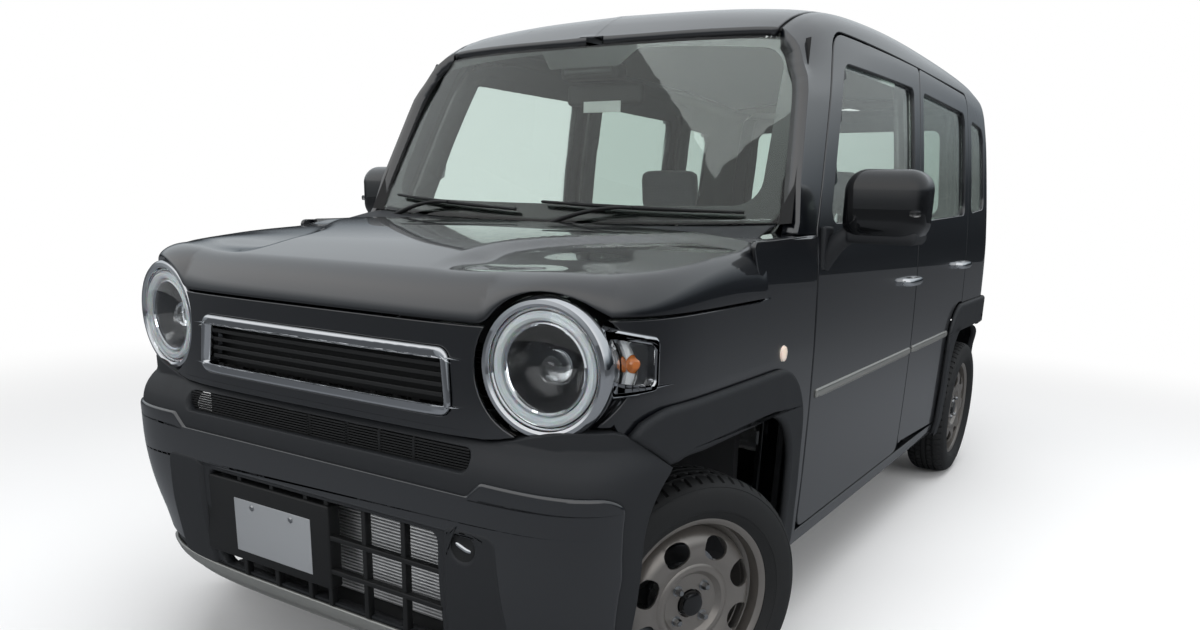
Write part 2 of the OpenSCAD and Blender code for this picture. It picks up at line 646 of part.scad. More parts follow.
module exhaust() {
    color(STEEL) {
        rod([900, -120, 180], [-806, -362, 178], 22);
        rod([-780, -352, 180], [-1440, -240, 184], 20);
        translate([-1480, 60, 215]) rotate([90, 0, 0]) cylinder(h = 420, r = 65);
    }
}

module bumper_rear() {
    function at(u) = 90 - 80 * abs(2 * u - 1);
    function pt(u, z, in) = let (q = bumper(-1, at(u), z, in)) [q.x, (u < 0.5 ? -1 : 1) * q.y, q.z];
    color(MATTE) difference() {
        sheet(30, 10, function (u, v) pt(u, mix(250, 634, v), 0), function (u, v) pt(u, mix(250, 634, v), 26));
        both() arch_cut(axle_r, ARCH_TRIM, 1);
    }
}

module tail_lamp() {
    color(RED) intersection() {
        sheet(6, 4, function (u, v) body(tail_x0 - mix(14, 41.2, u), mix(3.9, 5.6, v), -5),
            function (u, v) body(tail_x0 - mix(14, 41.2, u), mix(3.9, 5.6, v), 30));
        tail_lamp_cut();
    }
}

trim_t = 17.5; // how far the arch trims stand out

// arch trims lie on the body's skin, thicker than it
module arch_trim(x, dir) {
    function at(u) = dir > 0 ? (u < 0.5 ? mix(740, nose_x0, u * 2) : nose_x0 + 16 * pow(u * 2 - 1, 2))
        : (u < 0.5 ? mix(-840, tail_x0, u * 2) : tail_x0 - 30 * (u * 2 - 1));
    color(MATTE) difference() {
        intersection() {
            sheet(16, 8, function (u, v) nose(at(u), mix(240, 800, v), -trim_t), function (u, v) nose(at(u), mix(240, 800, v), -2.5));
            arch_cut(x, ARCH_TRIM);
        }
        arch_cut(x);
        // the front trim ends at the bumper's shut line
        if (dir > 0) side_cut([[1378, 60], [1378, 610], [1556, 736], [1556, 900], [1800, 900], [1800, 60]]);
        else side_cut([[-1560, 60], [-1560, 636], [-1800, 636], [-1800, 60]]);
    }
}

module arch_trims() { both() { arch_trim(axle_f, 1); arch_trim(axle_r, -1); } }

// wiper: an arm and a blade that lie along the foot of the windscreen, from the pivot side a to the tip b
module wiper(a, b) {
    function blade(t, w, in) = screen(0.05 + 0.04 * t + 0.024 * w, mix(b, a, 0.9 * t), in);
    pa = screen(-0.07, a, -6);
    sheet(6, 1, function (u, v) blade(u, v, -26), function (u, v) blade(u, v, -13));
    rod(pa, blade(0.5, 0.5, -22), 6);
    translate(pa) cylinder(h = 24, r = 13, center = true, $fn = 24);
}

module wipers() { color(BLACK) { wiper(-0.06, 0.88); wiper(-0.95, -0.09); } }

module tailgate() {
    function at(u) = tail_x0 - 90 + 44.2 * abs(2 * u - 1);
    color(PAINT) difference() {
        union() {
            sheet(20, 12, function (u, v) let (q = body(at(u), mix(3, s_rail, v))) [q.x, (u < 0.5 ? -1 : 1) * q.y, q.z],
                function (u, v) let (q = body(at(u), mix(3, s_rail, v), 55)) [q.x, (u < 0.5 ? -1 : 1) * q.y, q.z]);
            intersection() {
                roof_skin(s_rail + 0.36);
                translate([roof_x1 - shut_gap - 500, -800, 1300]) cube([500, 1600, 500]);
            }
        }
        front_cut([[500, 1110, 50], [470, 1500, 50], [-470, 1500, 50], [-500, 1110, 50]], -1750, -1400);
    }
}

module tailgate_glass() {
    color(GLASS) intersection() {
        sheet(12, 6, function (u, v) let (q = body(tail_x0 - 90 + 44.2 * abs(2 * u - 1), mix(6, 11, v), 10)) [q.x, (u < 0.5 ? -1 : 1) * q.y, q.z],
            function (u, v) let (q = body(tail_x0 - 90 + 44.2 * abs(2 * u - 1), mix(6, 11, v), 14)) [q.x, (u < 0.5 ? -1 : 1) * q.y, q.z]);
        front_cut([[500, 1110, 50], [470, 1500, 50], [-470, 1500, 50], [-500, 1110, 50]], -1750, -1400, grow = -1);
    }
}

module mirror_unit() {
    color(BLACK) difference() {
        union() {
            hull() {
                translate([650, 704, 1000]) sphere(22, $fn = 16);
                translate([630, 704, 1060]) sphere(22, $fn = 16);
                translate([612, 775, 1086]) sphere(24, $fn = 16);
            }
            hull() for (y = [764, 898], z = [1086, 1186], x = [572, 634])
                translate([x - (y - 764) * 0.16, y, z]) sphere(36, $fn = 20);
        }
        skin_block(720, 540, 3, 8, 3, 5, -5, 60);
    }
}

// ---------- wheels ----------

module tyre(x, y) {
    r = tyre_d / 2; b = rim_d / 2; h = tyre_w / 2;
    color(RUBBER) translate([x, y, wheel_z]) rotate([-90, 0, 0]) rotate_extrude($fn = 40)
        polygon(outline([[b + 0.5, -50], [b + 10.5, -55, 2], [b + 12, -66, 5], [(r + b) / 2, -h, 30], [r - 14, -h + 10, 18], [r, -h + 26, 16],
            [r, h - 26, 16], [r - 14, h - 10, 18], [(r + b) / 2, h, 30], [b + 12, 66, 5], [b + 10.5, 55, 2], [b + 0.5, 50]], 1));
}

// steel wheel: rows of [radius, place along the axle], outward positive
hub_face = 45;
module rim(x, y, out) {
    b = rim_d / 2; h = rim_w / 2;
    color(BRONZE) translate([x, y, wheel_z]) rotate([out > 0 ? -90 : 90, 0, 0]) {
        difference() {
            union() {
                // barrel
                rotate_extrude($fn = 60) polygon([
                    [b + 9, -h], [b + 9, -h + 5], [b, -h + 10], [b - 2, -34], [b - 20, -26], [b - 20, 12],
                    [b - 2, 24], [b, h - 10], [b + 9, h - 5], [b + 9, h], [b + 5, h], [b - 5, h - 7],
                    [b - 7, 29], [b - 25, 16], [b - 25, -30], [b - 7, -39], [b - 5, -h + 8], [b + 5, -h]]);
                // disc: hub seat, rise to the crown, and down to the barrel
                rotate_extrude($fn = 60) polygon(outline([
                    [spindle_d / 2 + 0.05, 12], [46, 12], [46, hub_face - 6], [70, hub_face - 6, 6], [92, 50, 10], [118, 54, 20],
                    [150, 50, 20], [b - 24, 22, 6], [b - 24, -4], [b - 17, -4], [b - 17, 26, 8], [154, 57, 20],
                    [118, 61, 20], [88, 57, 12], [68, hub_face, 6], [32, hub_face], [30, hub_face + 14, 4], [0, hub_face + 15],
                    [0, hub_face + 4], [spindle_d / 2 + 0.05, hub_face + 4]], 3));
                // brake disc
                rotate_extrude($fn = 60) polygon([[44, 14], [44, 20], [118, 2], [118, -10], [78, -10], [78, 2]]);
            }
            for (i = [0:wheel_holes - 1]) rotate(i * 360 / wheel_holes + 22.5)
                translate([133, 0, 30]) linear_extrude(60) polygon(outline([[-25, -31, 22], [25, -34, 24], [25, 34, 24], [-25, 31, 22]], 5));
            for (i = [0:3]) rotate(i * 90 + 45) translate([wheel_pcd / 2, 0, 30]) cylinder(h = 40, r = wheel_bolt_d / 2, $fn = 24);
        }
    }
}

module steering_wheel() {
    color(BLACK) translate([400, -320, 940]) rotate([0, -62, 0]) {
        rotate_extrude($fn = 48) translate([178, 0]) circle(r = 14, $fn = 20);
        translate([0, 0, -20]) cylinder(h = 40, r = 60);
        for (a = [0, 180, 270]) rotate(a) translate([50, -16, -8]) cube([122, 32, 14]);
        translate([0, 0, -130]) cylinder(h = 120, r = 18);
    }
}

// ---------- the pieces ----------

floor_pan();
side_panel();  // side_panel_left
mirror(MIRRORED) side_panel();  // side_panel_right
roof_panel();
bulkhead();
fender();  // fender_left
mirror(MIRRORED) fender();  // fender_right
nose_panel();
bumper_front();
skid_garnish();
grille();
cooling_pack();
headlamp();  // headlamp_left
mirror(MIRRORED) headlamp();  // headlamp_right
windscreen();
both() side_glass(QUARTER_WINDOW, -1090, -1399, 8);  // quarter_glass
bumper_rear();
both() tail_lamp();  // tail_lamps
arch_trims();
dashboard();
front_seats();
rear_seat();
power_unit();
front_subframe();
rear_axle();
fuel_tank();
exhaust();
wipers();
bonnet();
tailgate();
tailgate_glass();
door_front();  // door_front_left
mirror(MIRRORED) door_front();  // door_front_right
door_rear();  // door_rear_left
mirror(MIRRORED) door_rear();  // door_rear_right
side_glass(FRONT_WINDOW, 640, -260, 12);  // glass_front_left
mirror(MIRRORED) side_glass(FRONT_WINDOW, 640, -260, 12);  // glass_front_right
side_glass(REAR_WINDOW, -300, -1040, 12);  // glass_rear_left
mirror(MIRRORED) side_glass(REAR_WINDOW, -300, -1040, 12);  // glass_rear_right
mirror_unit();  // mirror_left
mirror(MIRRORED) mirror_unit();  // mirror_right
steered(1) knuckle();  // knuckle_left
steered(-1) mirror(MIRRORED) knuckle();  // knuckle_right
steered(1) tyre(axle_f, track_f / 2);  // tyre_front_left
steered(-1) tyre(axle_f, -track_f / 2);  // tyre_front_right
tyre(axle_r, track_r / 2);  // tyre_rear_left
tyre(axle_r, -track_r / 2);  // tyre_rear_right
steered(1) rim(axle_f, track_f / 2, 1);  // rim_front_left
steered(-1) rim(axle_f, -track_f / 2, -1);  // rim_front_right
rim(axle_r, track_r / 2, 1);  // rim_rear_left
rim(axle_r, -track_r / 2, -1);  // rim_rear_right
steering_wheel();
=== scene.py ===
# %% [markdown]
# # A small tall-roofed car, dressed over its CAD model
#
# The CAD model gives every piece its place and size. This lesson builds the surfaces that show:
# pressed steel, glass, lamps, wheels and cloth. Each piece starts flat, as a pattern cut to its
# outline, and is then laid on the body, because that is how a car's panels share one skin.

# %% Load the frame
import bisect
import math
import bpy
import bmesh
from mathutils import Matrix, Vector


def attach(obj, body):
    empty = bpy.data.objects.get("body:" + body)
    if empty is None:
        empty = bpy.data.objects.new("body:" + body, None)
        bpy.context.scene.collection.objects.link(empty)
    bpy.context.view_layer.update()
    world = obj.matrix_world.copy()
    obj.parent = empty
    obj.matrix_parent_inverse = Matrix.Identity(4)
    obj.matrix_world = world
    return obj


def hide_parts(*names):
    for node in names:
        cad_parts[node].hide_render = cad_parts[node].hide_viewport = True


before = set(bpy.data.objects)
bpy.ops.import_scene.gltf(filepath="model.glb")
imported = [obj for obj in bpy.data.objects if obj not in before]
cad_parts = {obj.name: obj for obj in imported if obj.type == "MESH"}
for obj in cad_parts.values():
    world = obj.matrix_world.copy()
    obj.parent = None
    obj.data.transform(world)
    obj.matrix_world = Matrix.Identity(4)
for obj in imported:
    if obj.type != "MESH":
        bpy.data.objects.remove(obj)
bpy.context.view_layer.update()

bpy.ops.object.select_all(action="DESELECT")

# %% [markdown]
# ## Numbers shared with the CAD source
#
# The same named sizes as in the part's source, in millimetres. The section is a row of points
# up the side of the cabin, and a smooth curve runs through them. Everything that lies on the
# body reads its place from these few rows, so panels meet without fitting by eye.

# %% Sizes
BODY_L, WHEELBASE, AXLE_F = 3395, 2460, 1192.5
AXLE_R = AXLE_F - WHEELBASE
TYRE_D, TYRE_W, RIM_D, RIM_W = 579, 165, 381, 128
TRACK_F, TRACK_R, WHEEL_Z, STEER, KINGPIN_Y = 1295, 1300, 289.5, -26, 560
SHUT, DOOR_T, FRAME_T = 6, 78, 38
LAMP_Y, LAMP_Z, LAMP_R = 549, 840, 130
GRILLE_Y, GRILLE_Z, GRILLE_H = 372, 800, 128
NOSE_X0, NOSE_L, NOSE_N, TAIL_X0, TAIL_L, TAIL_N, PLAN_M = 1000, 668, 7, -1400, 250, 4, 4
BUMPER_W, BUMPER_M, PAD_T, TRIM_T = 733, 9, 7, 17.5
ROOF_X1 = -1500
SECTION = [  # half width, height
    (700, 250), (711, 300), (717, 450), (720, 640), (719, 790), (714, 940), (704, 1085),
    (693, 1200), (676, 1350), (656, 1500), (645, 1565), (630, 1608), (602, 1634),
    (566, 1647), (480, 1660), (300, 1673), (0, 1680)]
ROOF_LINE = [(-1660, 92), (-1560, 56), (-1400, 30), (-1200, 15), (-900, 6), (-400, 0), (0, 2),
             (250, 10), (400, 22), (500, 42), (570, 68), (660, 118)]
BONNET_LINE = [(1000, 1076), (1150, 1068), (1300, 1056), (1450, 1036), (1560, 1012), (1668, 984)]
FRONT_BUMPER = [(205, 60), (240, 28), (300, 10), (380, 2), (450, 0), (620, 0), (655, 6), (682, 22),
                (700, 40)]
REAR_BUMPER = [(250, 60), (290, 26), (360, 8), (460, 0), (560, 0), (600, 10), (622, 34), (634, 60)]

# %% [markdown]
# ## Curves and the body's skin
#
# `ease` runs a smooth curve through a short table and `along` does the same through points. The
# skin functions give a point for two distances along the surface and a depth below it. Distances
# in real millimetres matter here: a 3 mm rounded edge is then 3 mm everywhere on the car.

# %% Curve helpers
def clamp(t, a, b):
    return max(a, min(b, t))

def mix(a, b, t):
    return a + (b - a) * t

def smooth(t):
    t = clamp(t, 0, 1)
    return t * t * (3 - 2 * t)

def ease(tab, x):
    """A smooth curve through the rows of a table."""
    n = len(tab) - 1
    i = max([k for k in range(n) if tab[k][0] <= x] or [0])
    a, b, c, d = tab[max(i - 1, 0)], tab[i], tab[i + 1], tab[min(i + 2, n)]
    h = c[0] - b[0]
    t = clamp((x - b[0]) / h, 0, 1)
    m1, m2 = (c[1] - a[1]) / (c[0] - a[0]) * h, (d[1] - b[1]) / (d[0] - b[0]) * h
    return (b[1] * (2 * t**3 - 3 * t * t + 1) + m1 * (t**3 - 2 * t * t + t)
            + c[1] * (3 * t * t - 2 * t**3) + m2 * (t**3 - t * t))

def look(tab, x):
    """Straight between rows."""
    i = bisect.bisect_left(tab, (x,))
    if i == 0 or i == len(tab): return tab[min(i, len(tab) - 1)][1]
    (a, b), (c, d) = tab[i - 1], tab[i]
    return mix(b, d, (x - a) / (c - a))

def section_at(s):
    n = len(SECTION) - 1
    i = int(clamp(math.floor(s), 0, n - 1))
    t = s - i
    rows = (SECTION[max(i - 1, 0)], SECTION[i], SECTION[i + 1], SECTION[min(i + 2, n)])
    return [0.5 * (2 * b + (c - a) * t + (2 * a - 5 * b + 4 * c - d) * t * t
                   + (3 * b - 3 * c + d - a) * t**3) for a, b, c, d in zip(*rows)]

def plan(a, n=NOSE_N, m=PLAN_M):
    """Plan curve of a rounded corner: factors of length and half width at an angle."""
    return math.sin(math.radians(a)) ** (2 / n), max(0, math.cos(math.radians(a))) ** (2 / m)

def corner(a, n, m):
    """The same curve, but past 45 degrees it steps evenly across, so that it reaches the middle."""
    if a <= 45: return plan(max(a, 0), n, m)
    ky = math.cos(math.radians(45)) ** (2 / m) * max(0, 90 - a) / 45
    return (1 - ky ** m) ** (1 / n), ky

def tail_at(z):
    return TAIL_L - 62 * smooth((z - 900) / 1100)

def taper(x, z):
    k = (z - 1000) / 560
    return 0 if z < 1000 else 30 * k * (max(x + 300, 0) / 900) ** 2 + 10 * k * (max(-x - 700, 0) / 700) ** 2

def body(p, s, depth=0):
    """Left side and roof: station p and section index s; past the tail the station counts degrees."""
    cy, cz = section_at(s)
    (ay, az), (by, bz) = section_at(max(s - 0.1, 0)), section_at(min(s + 0.1, 16))
    ln = math.hypot(by - ay, bz - az)
    qy, qz = cy - depth * (bz - az) / ln, cz + depth * (by - ay) / ln
    w = smooth((cz - 1380) / 260)
    if p >= TAIL_X0:
        return Vector((p, qy - taper(p, cz), qz - w * ease(ROOF_LINE, clamp(p, -1660, 660))))
    kx, ky = corner(TAIL_X0 - p, TAIL_N, PLAN_M)
    x = TAIL_X0 - (tail_at(cz) - depth) * kx
    return Vector((x, (qy - taper(x, cz)) * ky, qz - w * ease(ROOF_LINE, x)))

WIDTH = [(z, y) for y, z in SECTION]

def nose(p, z, depth=0):
    """Lower body by height; past either end the station counts degrees round the corner."""
    w = look(WIDTH, z) - depth
    if p > NOSE_X0:
        kx, ky = corner(p - NOSE_X0, NOSE_N, PLAN_M)
        return Vector((NOSE_X0 + (NOSE_L - 0.05 * (z - 800) - depth) * kx, w * ky, z))
    if p < TAIL_X0:
        kx, ky = corner(TAIL_X0 - p, TAIL_N, PLAN_M)
        return Vector((TAIL_X0 - (tail_at(z) - depth) * kx, w * ky, z))
    return Vector((p, w, z))

def bumper(front, a, z, depth=0):
    if front:
        kx, ky = corner(a, NOSE_N, mix(4.4, BUMPER_M, smooth((z - 300) / 260)))
        x0, end, off = NOSE_X0, BODY_L / 2 - PAD_T - NOSE_X0, max(0, ease(FRONT_BUMPER, z))
        return Vector((x0 + (end - off - depth) * kx, (BUMPER_W - 0.4 * off - depth) * ky, z))
    kx, ky = corner(a, TAIL_N, 5)
    off = max(0, ease(REAR_BUMPER, z))
    return Vector((TAIL_X0 - (BODY_L / 2 + TAIL_X0 - off - depth) * kx,
                   (BUMPER_W - 0.4 * off - depth) * ky, z))

print("door skin at the belt", body(0, 6)[:])

# %% Distance along the skin
def table(f, lo, hi, n=360):
    """Rows of (parameter, length along the curve f)."""
    rows, last, length = [(lo, 0.0)], f(lo), 0.0
    for i in range(1, n + 1):
        t = lo + (hi - lo) * i / n
        p = f(t)
        length += (p - last).length
        last = p
        rows.append((t, length))
    return rows

def flip(rows):
    return [(b, a) for a, b in rows]

UP = table(lambda s: Vector(section_at(s)), 0, 16)               # section index -> mm up the side
TAIL = table(lambda a: body(TAIL_X0 - a, 6), 0, 90)            # degrees -> mm round the tail
NOSE = table(lambda a: nose(NOSE_X0 + a, 800), 0.0001, 90)     # degrees -> mm round the nose
BUMP_F = table(lambda a: bumper(True, a, 560), 0.0001, 90)
BUMP_R = table(lambda a: bumper(False, a, 500), 0.0001, 90)
UP_, TAIL_, NOSE_, BUMP_F_, BUMP_R_ = map(flip, (UP, TAIL, NOSE, BUMP_F, BUMP_R))
T_TOP, NOSE_HALF, TAIL_HALF = UP[-1][1], NOSE[-1][1], TAIL[-1][1]
BUMP_HALF, BUMP_R_HALF = BUMP_F[-1][1], BUMP_R[-1][1]

def signed(q, a):
    """The same point on the side that the sign of a tells."""
    return Vector((q.x, math.copysign(q.y, a), q.z))

def side(a, b, d=0):
    """Side skin: a is the station in mm (running on round the tail), b is mm up the side."""
    p = a if a >= TAIL_X0 else TAIL_X0 - look(TAIL_, TAIL_X0 - a)
    return body(p, look(UP_, b), d)

def roof(a, b, d=0):
    """Roof skin: a is the station, b the distance across from the middle."""
    return signed(side(a, T_TOP - abs(b), d), b)

def back(a, b, d=0):
    """Tail skin: a is mm across from the middle, b is mm up."""
    return signed(body(TAIL_X0 - look(TAIL_, TAIL_HALF - abs(a)), look(UP_, b), d), a)

def lower(a, b, d=0):
    """Lower body: a is the station (running on round the nose), b the height."""
    return nose(a if a <= NOSE_X0 else NOSE_X0 + look(NOSE_, a - NOSE_X0), b, d)

def front(a, b, d=0):
    """Nose skin: a is mm across from the middle, b the height."""
    return signed(nose(NOSE_X0 + look(NOSE_, NOSE_HALF - abs(a)), b, d), a)

def bump_front(a, b, d=0):
    return signed(bumper(True, look(BUMP_F_, BUMP_HALF - abs(a)), b, d), a)

def bump_back(a, b, d=0):
    return signed(bumper(False, look(BUMP_R_, BUMP_R_HALF - abs(a)), b, d), a)

def solve(f, target, lo, hi):
    """Where the rising or falling function f has the value target."""
    up = f(hi) > f(lo)
    for _ in range(40):
        m = (lo + hi) / 2
        if (f(m) < target) == up: lo = m
        else: hi = m
    return (lo + hi) / 2

def on_side(x, z):
    return x, solve(lambda b: side(x, b).z, z, 0, T_TOP - 250)

def on_lower(x, z):
    return (x, z) if x <= NOSE_X0 else (solve(lambda a: lower(a, z).x, x, NOSE_X0, NOSE_X0 + NOSE_HALF), z)

def across(skin, half):
    """Turns front-view points (y, z) into points on a skin that is measured from the middle."""
    return lambda y, z: (math.copysign(solve(lambda a: skin(a, z).y, abs(y), 0, half), y), z)

on_front, on_bumper = across(front, NOSE_HALF), across(bump_front, BUMP_HALF)
print("nose is", round(2 * NOSE_HALF), "mm round, side is", round(T_TOP), "mm up")

# %% [markdown]
# ## Outlines
#
# A panel's outline is drawn in side or front view as a few corners with radii, and each corner
# becomes a short arc. The wheel arches are rounded rectangles, wider at the foot.

# %% Outline helpers
def outline(rows, n=6):
    out = []
    for i, row in enumerate(rows):
        p, a, b = Vector(row[:2]), Vector(rows[i - 1][:2]), Vector(rows[(i + 1) % len(rows)][:2])
        r = row[2] if len(row) > 2 else 0
        u, v = (a - p).normalized(), (b - p).normalized()
        half = math.acos(clamp(u.dot(v), -1, 1)) / 2
        if r == 0 or math.degrees(half) > 88:
            out.append(tuple(p))
            continue
        d = min(r / math.tan(half), 0.49 * min((a - p).length, (b - p).length))
        rr = d * math.tan(half)
        o = p + (u + v).normalized() * rr / math.sin(half)
        s, e = p + u * d - o, p + v * d - o
        a0 = math.atan2(s.y, s.x)
        da = (math.atan2(e.y, e.x) - a0 + 3 * math.pi) % (2 * math.pi) - math.pi
        out += [tuple(o + rr * Vector((math.cos(a0 + da * k / n), math.sin(a0 + da * k / n))))
                for k in range(n + 1)]
    return out

ARCH, ARCH_TRIM = (348, 340, 663, 150), (432, 410, 768, 170)

def arch(x, a, grow=0, foot=200):
    """Wheel arch from its rear foot over the top to its front foot."""
    k = (foot - 60) / (a[2] - 60)
    w = mix(a[0], a[1], k) + grow
    return outline([(x - w, foot), (x - a[1] - grow, a[2] + grow, a[3] + grow),
                    (x + a[1] + grow, a[2] + grow, a[3] + grow), (x + w, foot)], 12)

def circle(cx, cy, r, n=24):
    turns = [math.radians(360 * i / n) for i in range(n)]
    return [(cx + r * math.cos(t), cy + r * math.sin(t)) for t in turns]

def dense(rows, step=40, closed=True):
    """More points along long straight stretches, so that they follow a curved skin."""
    out = []
    for p, q in zip(rows, rows[1:] + (rows[:1] if closed else [])):
        n = max(1, round(math.dist(p[:2], q[:2]) / step))
        out += [(mix(p[0], q[0], k / n), mix(p[1], q[1], k / n)) for k in range(n)]
    return out if closed else out + [tuple(rows[-1][:2])]

SIDES = (("left", 1), ("right", -1))
print("arch outline has", len(arch(0, ARCH)), "points")

# %% [markdown]
# ## Finishes
#
# Each finish is named for the real material. Paint is a dark pigment under a clear lacquer, so it
# is a rough base with a smooth coat. Moulded plastics have a fine pebbled grain, rubber is dull,
# and chrome is a bare mirror. Patterns are placed by Object coordinates in real millimetres.

# %% Node helper and colours
def linear(hex_code):
    """sRGB hex to linear colour, as shaders expect."""
    c = [int(hex_code[i:i + 2], 16) / 255 for i in (0, 2, 4)]
    return [v / 12.92 if v <= 0.04045 else ((v + 0.055) / 1.055) ** 2.4 for v in c] + [1.0]

def add(tree, kind, values=(), links=(), **settings):
    """Adds a node, sets its properties and socket values, and links its inputs."""
    node = tree.nodes.new(kind)
    for k, v in settings.items(): setattr(node, k, v)
    for k, v in dict(values).items(): node.inputs[k].default_value = v
    for k, out in dict(links).items(): tree.links.new(out, node.inputs[k])
    return node

def finish_of(name, hex_code, rough, bump=None, patchy=0.0, **sockets):
    """Principled finish. bump is (grain size in mm, depth in mm); patchy varies the roughness."""
    m = bpy.data.materials.new(name)
    m.use_nodes = True
    tree = m.node_tree
    shader = tree.nodes["Principled BSDF"]
    shader.inputs["Base Color"].default_value = linear(hex_code)
    shader.inputs["Roughness"].default_value = rough
    for k, v in sockets.items(): shader.inputs[k.replace("_", " ")].default_value = v
    where = add(tree, "ShaderNodeTexCoord").outputs["Object"]
    if bump:
        size, depth = bump
        grain = add(tree, "ShaderNodeTexNoise", {"Scale": 1000 / size, "Detail": 3, "Roughness": 0.6},
                    {"Vector": where})
        b = add(tree, "ShaderNodeBump", {"Distance": depth / 1000, "Strength": 0.6},
                {"Height": grain.outputs["Fac"]})
        tree.links.new(b.outputs["Normal"], shader.inputs["Normal"])
    if patchy:
        cloud = add(tree, "ShaderNodeTexNoise", {"Scale": 9, "Detail": 4}, {"Vector": where})
        ramp = add(tree, "ShaderNodeMapRange",
                   {"To Min": rough * (1 - patchy), "To Max": min(1, rough * (1 + patchy))},
                   {"Value": cloud.outputs["Fac"]})
        tree.links.new(ramp.outputs["Result"], shader.inputs["Roughness"])
    return m

# lacquered pearl paint: blue-black pigment, clear coat that mirrors the sky
PAINT = finish_of("lacquered_blue_black_paint", "05070C", 0.3, bump=(55, 0.04), Specular_IOR_Level=0.5,
                  Coat_Weight=1.0, Coat_Roughness=0.015, Coat_IOR=1.8)
# acid-etched look of moulded, unpainted polypropylene
GRAINED = finish_of("grained_polypropylene", "1A1C1F", 0.62, bump=(1.6, 0.12), patchy=0.12)
# the same plastic, finer and darker, for ducts and holders
DUCT = finish_of("moulded_black_plastic", "0D0E0F", 0.55, bump=(1.6, 0.08), patchy=0.15)
# injection-moulded ABS with a polished skin
PIANO = finish_of("gloss_black_abs", "050608", 0.5, patchy=0.1, Specular_IOR_Level=0.15,
                  Coat_Weight=1.0, Coat_Roughness=0.02, Coat_IOR=1.6)
# metals: a plated mirror, two silver paints with fine flakes, and bare or coated steel
CHROME = finish_of("plated_chrome", "DADCDF", 0.05, patchy=0.3, Metallic=1.0)
SATIN = finish_of("satin_silver_paint", "A3A4A1", 0.36, bump=(2.0, 0.02), patchy=0.15, Metallic=0.75)
WHEEL = finish_of("satin_bronze_wheel_paint", "8E8A86", 0.34, bump=(2.0, 0.02), patchy=0.2, Metallic=0.8)
STEEL = finish_of("zinc_plated_steel", "A6A8AA", 0.28, patchy=0.4, Metallic=1.0)
UNDER = finish_of("underbody_steel", "3A3B3D", 0.6, bump=(6, 0.3), patchy=0.3, Metallic=0.3)
# rubbers and enamel are dull, with little grain
RUBBER = finish_of("tyre_rubber", "18191A", 0.7, bump=(2.2, 0.12), patchy=0.15)
SEAL = finish_of("extruded_rubber_seal", "0B0B0C", 0.6, bump=(3, 0.05))
FRIT = finish_of("black_enamel_frit", "08090A", 0.35, patchy=0.1)
# folded fins, and the plastics and felt of the cabin
FINS = finish_of("aluminium_fins", "C4C6C8", 0.45, patchy=0.3, Metallic=0.25)
LINER = finish_of("cabin_plastic_grey", "3B3C3E", 0.62, bump=(1.8, 0.1), patchy=0.1)
SOFT_TRIM = finish_of("woven_roof_lining", "8F8E8A", 0.9, bump=(2.5, 0.15))
print(len(bpy.data.materials), "finishes")

# %% Glass and lenses
def clear(name, hex_code, rough=0.0, ior=1.45, **sockets):
    return finish_of(name, hex_code, rough, Transmission_Weight=1.0, IOR=ior, **sockets)

# toughened soda-lime glass with a faint green body colour
GLASS = clear("laminated_green_glass", "E4EEEA", ior=1.45)
PRIVACY = clear("tinted_green_glass", "C4D2CC", ior=1.45)
LENS = clear("clear_polycarbonate_lens", "F4F6F7", ior=1.35)
# coloured lenses have ribs inside that scatter the light, so they look solid
AMBER = finish_of("amber_polycarbonate", "D9782B", 0.25, bump=(5, 0.3), Coat_Weight=1.0,
                  Coat_Roughness=0.04)
RED_LENS = finish_of("red_polycarbonate", "A3101A", 0.3, bump=(7, 0.25), Coat_Weight=1.0,
                     Coat_Roughness=0.03)
GUIDE = finish_of("frosted_light_guide", "E9ECEE", 0.22, Coat_Weight=0.6, Subsurface_Weight=0.2)
# inside the lamps: a dark bowl and a bright plated one
BOWL = finish_of("smoked_lamp_bowl", "0A0B0D", 0.22, Coat_Weight=1.0, Coat_Roughness=0.05)
REFLECTOR = finish_of("vacuum_plated_reflector", "EEF0F1", 0.3, bump=(9, 0.6), Metallic=0.3)
MARKER = finish_of("frosted_marker_lens", "E6D3C4", 0.25, Coat_Weight=1.0, Coat_Roughness=0.05,
                   Subsurface_Weight=0.1)
MIRROR = finish_of("silvered_mirror", "D8DEE2", 0.02, Metallic=1.0)
PLATE = finish_of("brushed_blank_plate", "B9BCBF", 0.35, patchy=0.2, Metallic=0.7)

def cloth_finish(name, hex_code, thread_mm):
    """Plain weave: two crossed waves make the threads, drawn a little coarse so that they show."""
    m = finish_of(name, hex_code, 0.92, Sheen_Weight=0.35, Sheen_Roughness=0.5)
    tree = m.node_tree
    where = add(tree, "ShaderNodeTexCoord").outputs["Object"]
    a, b = [add(tree, "ShaderNodeTexWave", {"Scale": 1000 / thread_mm / 6.28, "Distortion": 0.6},
                {"Vector": where}, bands_direction=way) for way in "YZ"]
    both = add(tree, "ShaderNodeMath", operation="MULTIPLY",
               links={0: a.outputs["Fac"], 1: b.outputs["Fac"]})
    bump = add(tree, "ShaderNodeBump", {"Distance": 0.0006, "Strength": 0.7}, {"Height": both.outputs[0]})
    tree.links.new(bump.outputs["Normal"], tree.nodes["Principled BSDF"].inputs["Normal"])
    return m

CLOTH = cloth_finish("woven_seat_cloth", "5C5D60", 3.0)
print("glass tint", [round(c, 2) for c in linear("E4EEEA")[:3]])

# %% [markdown]
# ## A panel from a flat pattern
#
# A door or a fender starts as a flat cut-out in its own plane. Inset rings near the edge become
# the folded hem of the sheet metal, regular cuts give it enough faces to bend, and an extrusion
# gives it the wall. Then every point is moved onto the skin. The alternative, cutting holes in a
# finished surface, leaves ragged shading that gloss paint would show at once.

# %% Panel maker
HEM = ((0.8, 0.9), (2.6, 0.0))  # inset distance in mm, how far it dips; the border itself dips 2.6

